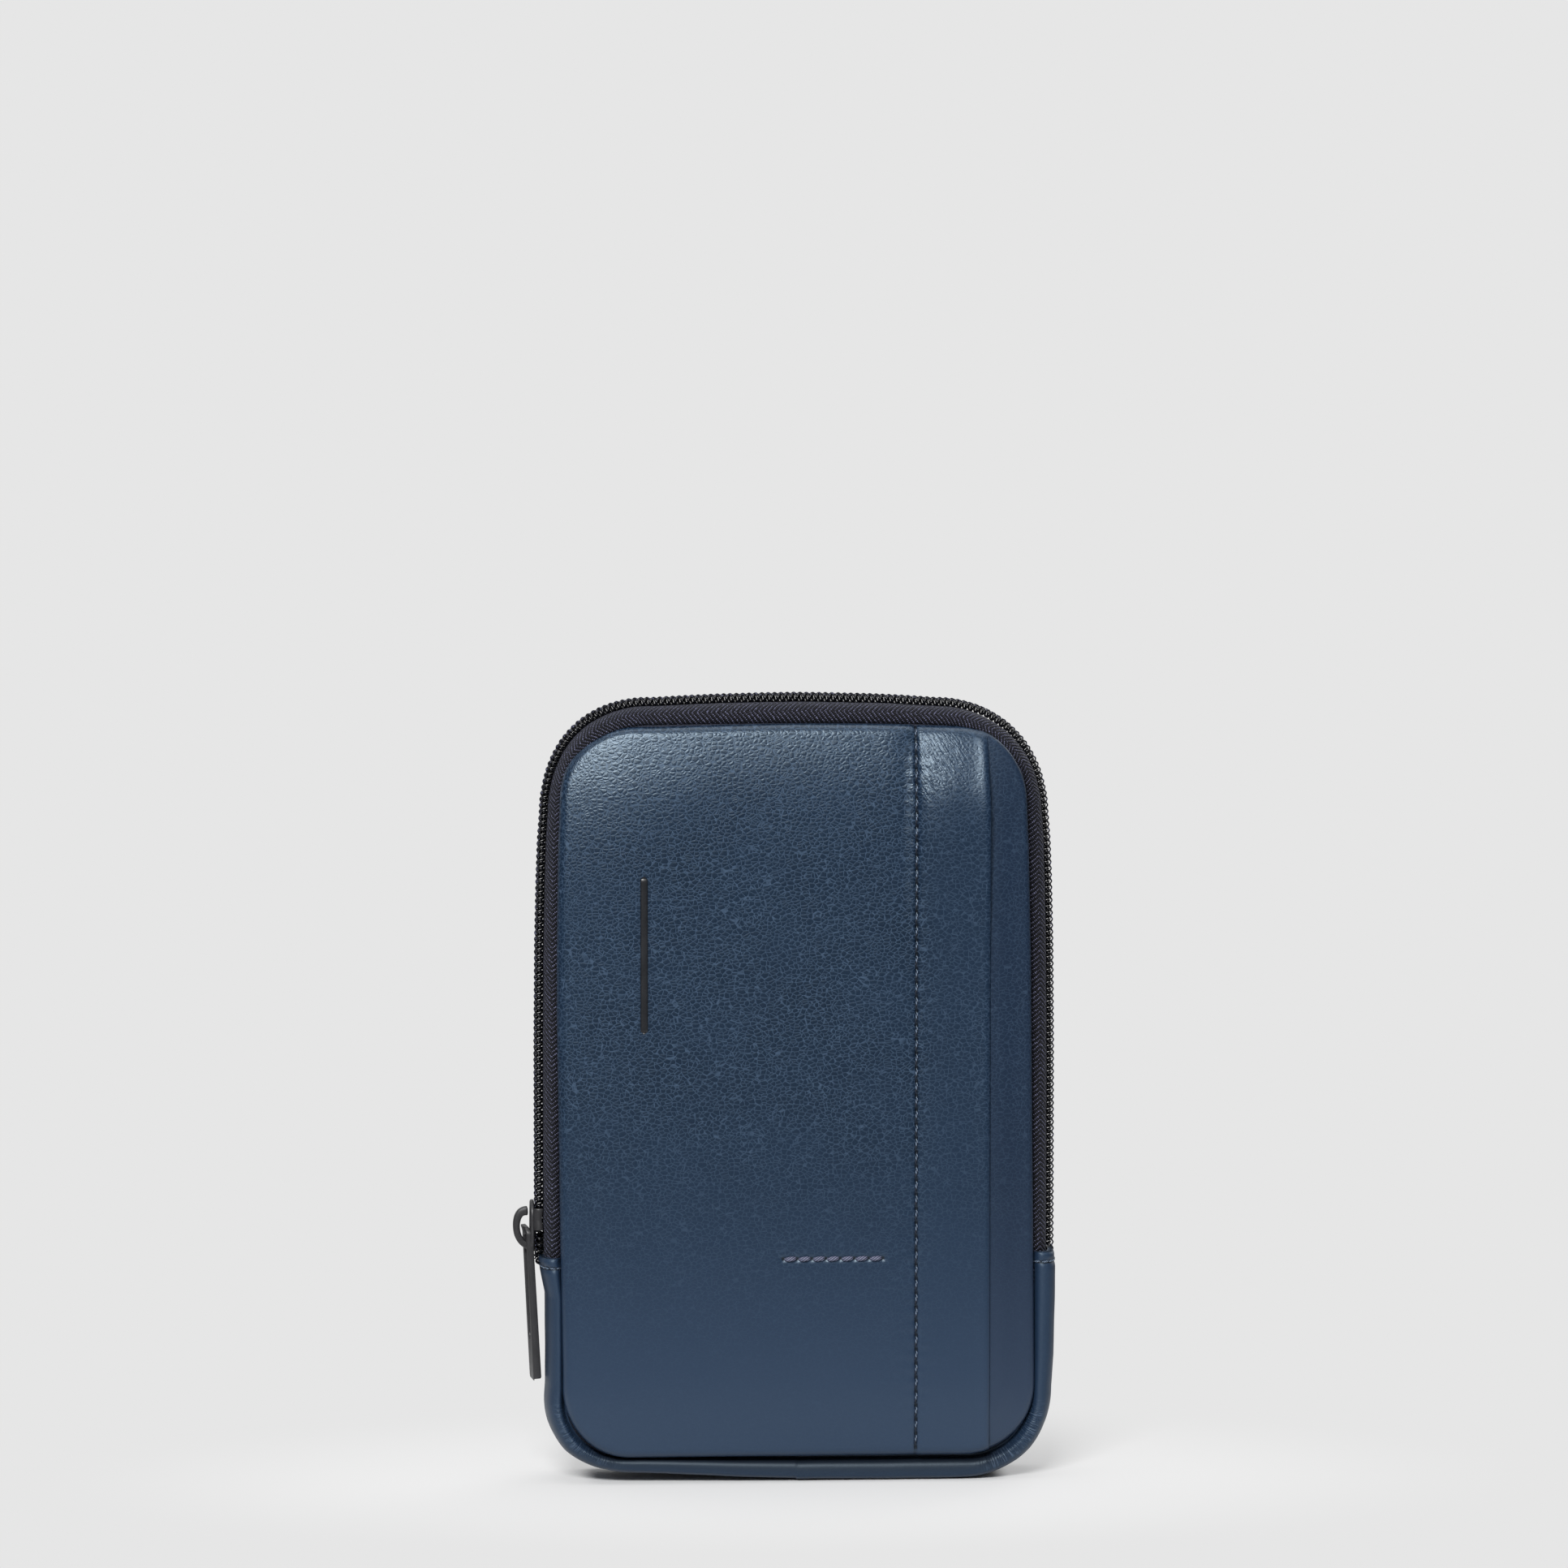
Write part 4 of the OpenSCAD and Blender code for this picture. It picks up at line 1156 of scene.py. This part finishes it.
def flange(side, rings=14):
    """The wall at one side of the crown that holds the coil in, waisted at its middle."""
    points = []
    for z in np.linspace(0.0, FLANGE_L, rings):
        low = FLANGE_LOW + 0.25 * bell(z, FLANGE_L / 2, 1.2)
        y = FLANGE_Y - 0.1 * bell(z, FLANGE_L / 2, 1.3)
        inner = y - (0.95 if 0 < z < FLANGE_L else 0.6)
        outline = [(FLANGE_TOP, inner), (low + FLANGE_EDGE, inner), (low, inner + FLANGE_EDGE),
                   (low, y - FLANGE_EDGE), (low + FLANGE_EDGE, y), (FLANGE_TOP, y)]
        points += [(u, side * across, z - 0.6) for u, across in outline]
    points = np.array(points)
    return points, capped(rings, 6), points[:, 1:]


def bridge():
    """A C of flat bar, rooted in the crown's nose and open at its tail."""
    line = smooth_line(BRIDGE, BRIDGE_RINGS)
    f = np.linspace(0, 1, BRIDGE_RINGS)
    half_thick = np.interp(f, [0, 0.5, 0.75, 1], [0.78, 0.8, 0.92, 1.05])
    end = np.sqrt(1 - part_way(f, 0.965, 1) ** 2 * 0.75)
    a = np.arange(BRIDGE_SIDES) * ROUND / BRIDGE_SIDES
    across, out = BRIDGE_HALF * squarer(np.cos(a), 0.4), squarer(np.sin(a), 0.4)
    points = []
    for (u, z), (du, dz), r in zip(line, directions(line), half_thick * end):
        points.append(np.stack([u + dz * r * out, across, z - du * r * out], 1))
    points = np.array(points)
    points[:, :, 1] *= end[:, None]
    points = points.reshape(-1, 3)
    return points, capped(BRIDGE_RINGS, BRIDGE_SIDES), points[:, 1:]


turn = np.arange(20) * ROUND / 20
post = np.stack([POST_HALF * np.cos(turn), POST_MIDDLE + POST_LONG * np.sin(turn)], 1)
crown = plate(slider_outline(), CROWN, edge=0.42, camber=0.25)
sole = plate(slider_outline(), SOLE, edge=0.3, camber=0.0)
points, faces, uv = merge([crown, sole, plate(post, POST, 0.05, 0.0, 2), flange(-1), flange(1), bridge()])
points = np.stack([-(RIM.half + points[:, 0]), points[:, 1], SLIDER_Z + points[:, 2]], 1)
slider = piece("slider_casting", (points, faces, uv), mat_metal, "slider", ("slider_body",),
               settled=False)

# The pull, in (u, y, z) from the bar of the bridge that it hangs on
joint = next(j for j in frame["record"]["behaviour"]["joints"] if j["name"] == "pull_swing")
BAR = np.array(joint["pos_m"]) / MM
TURN = math.radians(6.0)
LEAN = math.radians(2.8)
PULL_L = BAR[2] - span("pull_tab")[0][2]
PULL_LOW, PULL_HIGH, PULL_EDGE = -0.85, 0.95, 0.3
CREST_X = -RIM.half - CREST_U


def capsule_loop(top, foot, half_top, half_foot, r_top, r_foot, n=24):
    """A clockwise loop of 4 * n points: a tapered bar with rounded corners, from its top's right."""
    loop = []
    corners = ((half_top, top - r_top, r_top), (half_foot, foot + r_foot, r_foot),
               (-half_foot, foot + r_foot, r_foot), (-half_top, top - r_top, r_top))
    for quarter, (x, z, r) in enumerate(corners):
        a = QUARTER * (1 - quarter) - np.linspace(0, QUARTER, n)
        loop.append(np.stack([x - math.copysign(r, x) + r * np.cos(a), z + r * np.sin(a)], 1))
    return np.concatenate(loop)


def frame_ring(outer, inner, low, high, edge, steps=5):
    """A flat frame between two clockwise loops of as many points, its edges rounded."""
    out, back = -outward(outer), outward(inner)
    near = [edge * (1 - math.sin(k)) for k in np.linspace(0, QUARTER, steps)]
    far = near[::-1]
    rings = [(low + b, outer - out * a) for a, b in zip(near, far)]
    rings += [(high - a, outer - out * b) for a, b in zip(near, far)]
    rings += [(high - b, inner - back * a) for a, b in zip(near, far)]
    rings += [(low + a, inner - back * b) for a, b in zip(near, far)]
    points = np.concatenate([np.column_stack([np.full(len(loop), u), loop]) for u, loop in rings])
    return points, grid(len(rings), len(outer), wrap_rows=True, wrap_cols=True).tolist(), points[:, 1:]


outer = capsule_loop(top=1.2, foot=-PULL_L - 0.3, half_top=4.4, half_foot=3.5, r_top=1.8, r_foot=0.95)
opening = capsule_loop(top=-0.8, foot=-25.1, half_top=1.65, half_foot=1.65, r_top=0.8, r_foot=1.63)
points, faces, uv = frame_ring(outer, opening, PULL_LOW, PULL_HIGH, PULL_EDGE)
u, y, z = points.T
# It thickens a little towards its foot, and is set back and thinned round the bridge
u = u * (1 + 0.06 * part_way(z, 0, -PULL_L)) - 0.75 * part_way(z, 1, -0.5)
u = np.where(z > -1.4, u * (0.62 + 0.38 * part_way(z, 0, -1.4)), u)
leaned = u * math.cos(LEAN) + z * math.sin(LEAN)
height = z * math.cos(LEAN) - u * math.sin(LEAN)
out = leaned * math.cos(TURN) + y * math.sin(TURN)
across = y * math.cos(TURN) - leaned * math.sin(TURN)
# Its back is hollow between its two long edges, so it clears the zip's teeth higher up
HOLLOW_HALF, HOLLOW_TOP, HOLLOW_GAP = 3.05, -28.0, 0.26
ring = np.arange(len(points)) // len(outer)
hollow = (ring == 0) | (ring > 4) | ((z < HOLLOW_TOP) & (np.abs(across) < HOLLOW_HALF))
x = np.where(hollow, np.minimum(BAR[0] - out, CREST_X - HOLLOW_GAP), BAR[0] - out)
points = np.stack([x, BAR[1] + across, BAR[2] + height], 1)
faces = [face[::-1] for face in faces]
pull = piece("pull_casting", (points, faces, uv), mat_metal, "pull", ("pull_tab",),
             settled=False)

for casting in (slider, pull):
    bpy.context.view_layer.objects.active = casting
    for other in bpy.data.objects:
        other.select_set(other == casting)
    bpy.ops.object.mode_set(mode="EDIT")
    bpy.ops.mesh.select_all(action="SELECT")
    bpy.ops.mesh.normals_make_consistent(inside=False)
    bpy.ops.object.mode_set(mode="OBJECT")


# Floor, backdrop, light and camera, in metres
FLOOR_HALF = 6.0
FOOTPRINT = (0.044, 0.0085, 0.0)
FLOOR_DIM = (0.08, 0.08, 0.09, 1.0)


def floor_material():
    """Pale and shadowed near the object, fading into the backdrop's own colour further off."""
    material = bpy.data.materials.new("floor_pale")
    material.use_nodes = True
    n = Nodes(material.node_tree)
    n.tree.nodes.clear()
    ray = n.add("LightPath").outputs
    where = n.add("TexCoord").outputs["Object"]
    far = n.length(n.vector("MULTIPLY", where, (0.62, 1.0, 1.0)))
    past = n.vector("SUBTRACT", n.vector("ABSOLUTE", where), FOOTPRINT)
    beside = n.length(n.vector("MAXIMUM", past, (0.0, 0.0, 0.0)))
    matte = n.add("BsdfDiffuse", {"Color": BACKDROP})
    dim = n.add("BsdfDiffuse", {"Color": FLOOR_DIM})
    glow = n.add("Emission", {"Color": BACKDROP})
    lit = n.layer(n.ramp(far, 0.05, 0.32) * ray["Is Glossy Ray"], matte, dim)
    clear = n.ramp(far, 0.02, 0.11, 0.4, 1.0) * n.ramp(beside, 0.001, 0.006)
    seen = n.layer(clear * ray["Is Camera Ray"], lit, glow)
    n.add("OutputMaterial", {0: seen.outputs[0]})
    return material


mesh = bpy.data.meshes.new("floor")
corners = [(-FLOOR_HALF, -FLOOR_HALF, 0), (FLOOR_HALF, -FLOOR_HALF, 0), (FLOOR_HALF, FLOOR_HALF, 0),
           (-FLOOR_HALF, FLOOR_HALF, 0)]
mesh.from_pydata(corners, [], [(0, 1, 2, 3)])
mesh.materials.append(floor_material())
floor = bpy.data.objects.new("floor", mesh)
bpy.context.scene.collection.objects.link(floor)
floor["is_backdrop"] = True

# The world: the backdrop for the camera, a soft fill, and for reflections a light from behind and above
world = bpy.data.worlds.new("studio")
bpy.context.scene.world = world
world.use_nodes = True
n = Nodes(world.node_tree)
n.tree.nodes.clear()
ray = n.add("LightPath").outputs
_, behind, above = n.split(n.add("TexCoord").outputs["Generated"])
bright = n.math("MAXIMUM", n.ramp(behind, 0.15, 0.7, 0.0, 0.6), n.ramp(above, 0.25, 0.9, 0.01, 0.7))
backdrop = n.add("Background", {0: BACKDROP, 1: 1.0})
fill = n.add("Background", {0: WHITE, 1: 0.28})
reflected = n.add("Background", {0: WHITE, 1: bright})
unseen = n.layer(ray["Is Glossy Ray"], fill, reflected)
n.add("OutputWorld", {0: n.layer(ray["Is Camera Ray"], unseen, backdrop).outputs[0]})


def lamp(name, place, aim, width, height, power):
    data = bpy.data.lights.new(name, "AREA")
    data.shape = "RECTANGLE"
    data.size, data.size_y = width, height
    data.energy = power
    obj = bpy.data.objects.new(name, data)
    obj.location = place
    obj.rotation_euler = (Vector(aim) - Vector(place)).to_track_quat("-Z", "Y").to_euler()
    bpy.context.scene.collection.objects.link(obj)


lamp("key", (-0.34, -1.35, 1.00), (0, 0, 0.10), 0.55, 0.36, 30.0)
lamp("top", (0.0, 0.1, 1.5), (0, 0, 0.12), 1.2, 1.0, 7.0)
lamp("rim", (0.75, 1.15, 0.8), (0, 0, 0.10), 0.8, 0.8, 5.0)

AZIMUTH = math.radians(-4.0)
ELEVATION = math.radians(6.0)
DISTANCE = 1.5
FRAME_WIDTH = 0.360
TARGET = Vector((0.0, 0.0, 0.090))
OFFSET = Vector((-0.0023, 0.0, 0.0691))
cam_data = bpy.data.cameras.new("camera")
cam = bpy.data.objects.new("camera", cam_data)
bpy.context.scene.collection.objects.link(cam)
cam.location = TARGET + DISTANCE * Vector((math.sin(AZIMUTH) * math.cos(ELEVATION),
                                           -math.cos(AZIMUTH) * math.cos(ELEVATION), math.sin(ELEVATION)))
look = TARGET + OFFSET - cam.location
cam.rotation_euler = look.to_track_quat("-Z", "Y").to_euler()
cam_data.sensor_fit = "HORIZONTAL"
cam_data.angle = 2 * math.atan(FRAME_WIDTH / 2 / DISTANCE)
bpy.context.scene.camera = cam
bpy.context.scene.view_settings.view_transform = "Standard"

low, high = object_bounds()
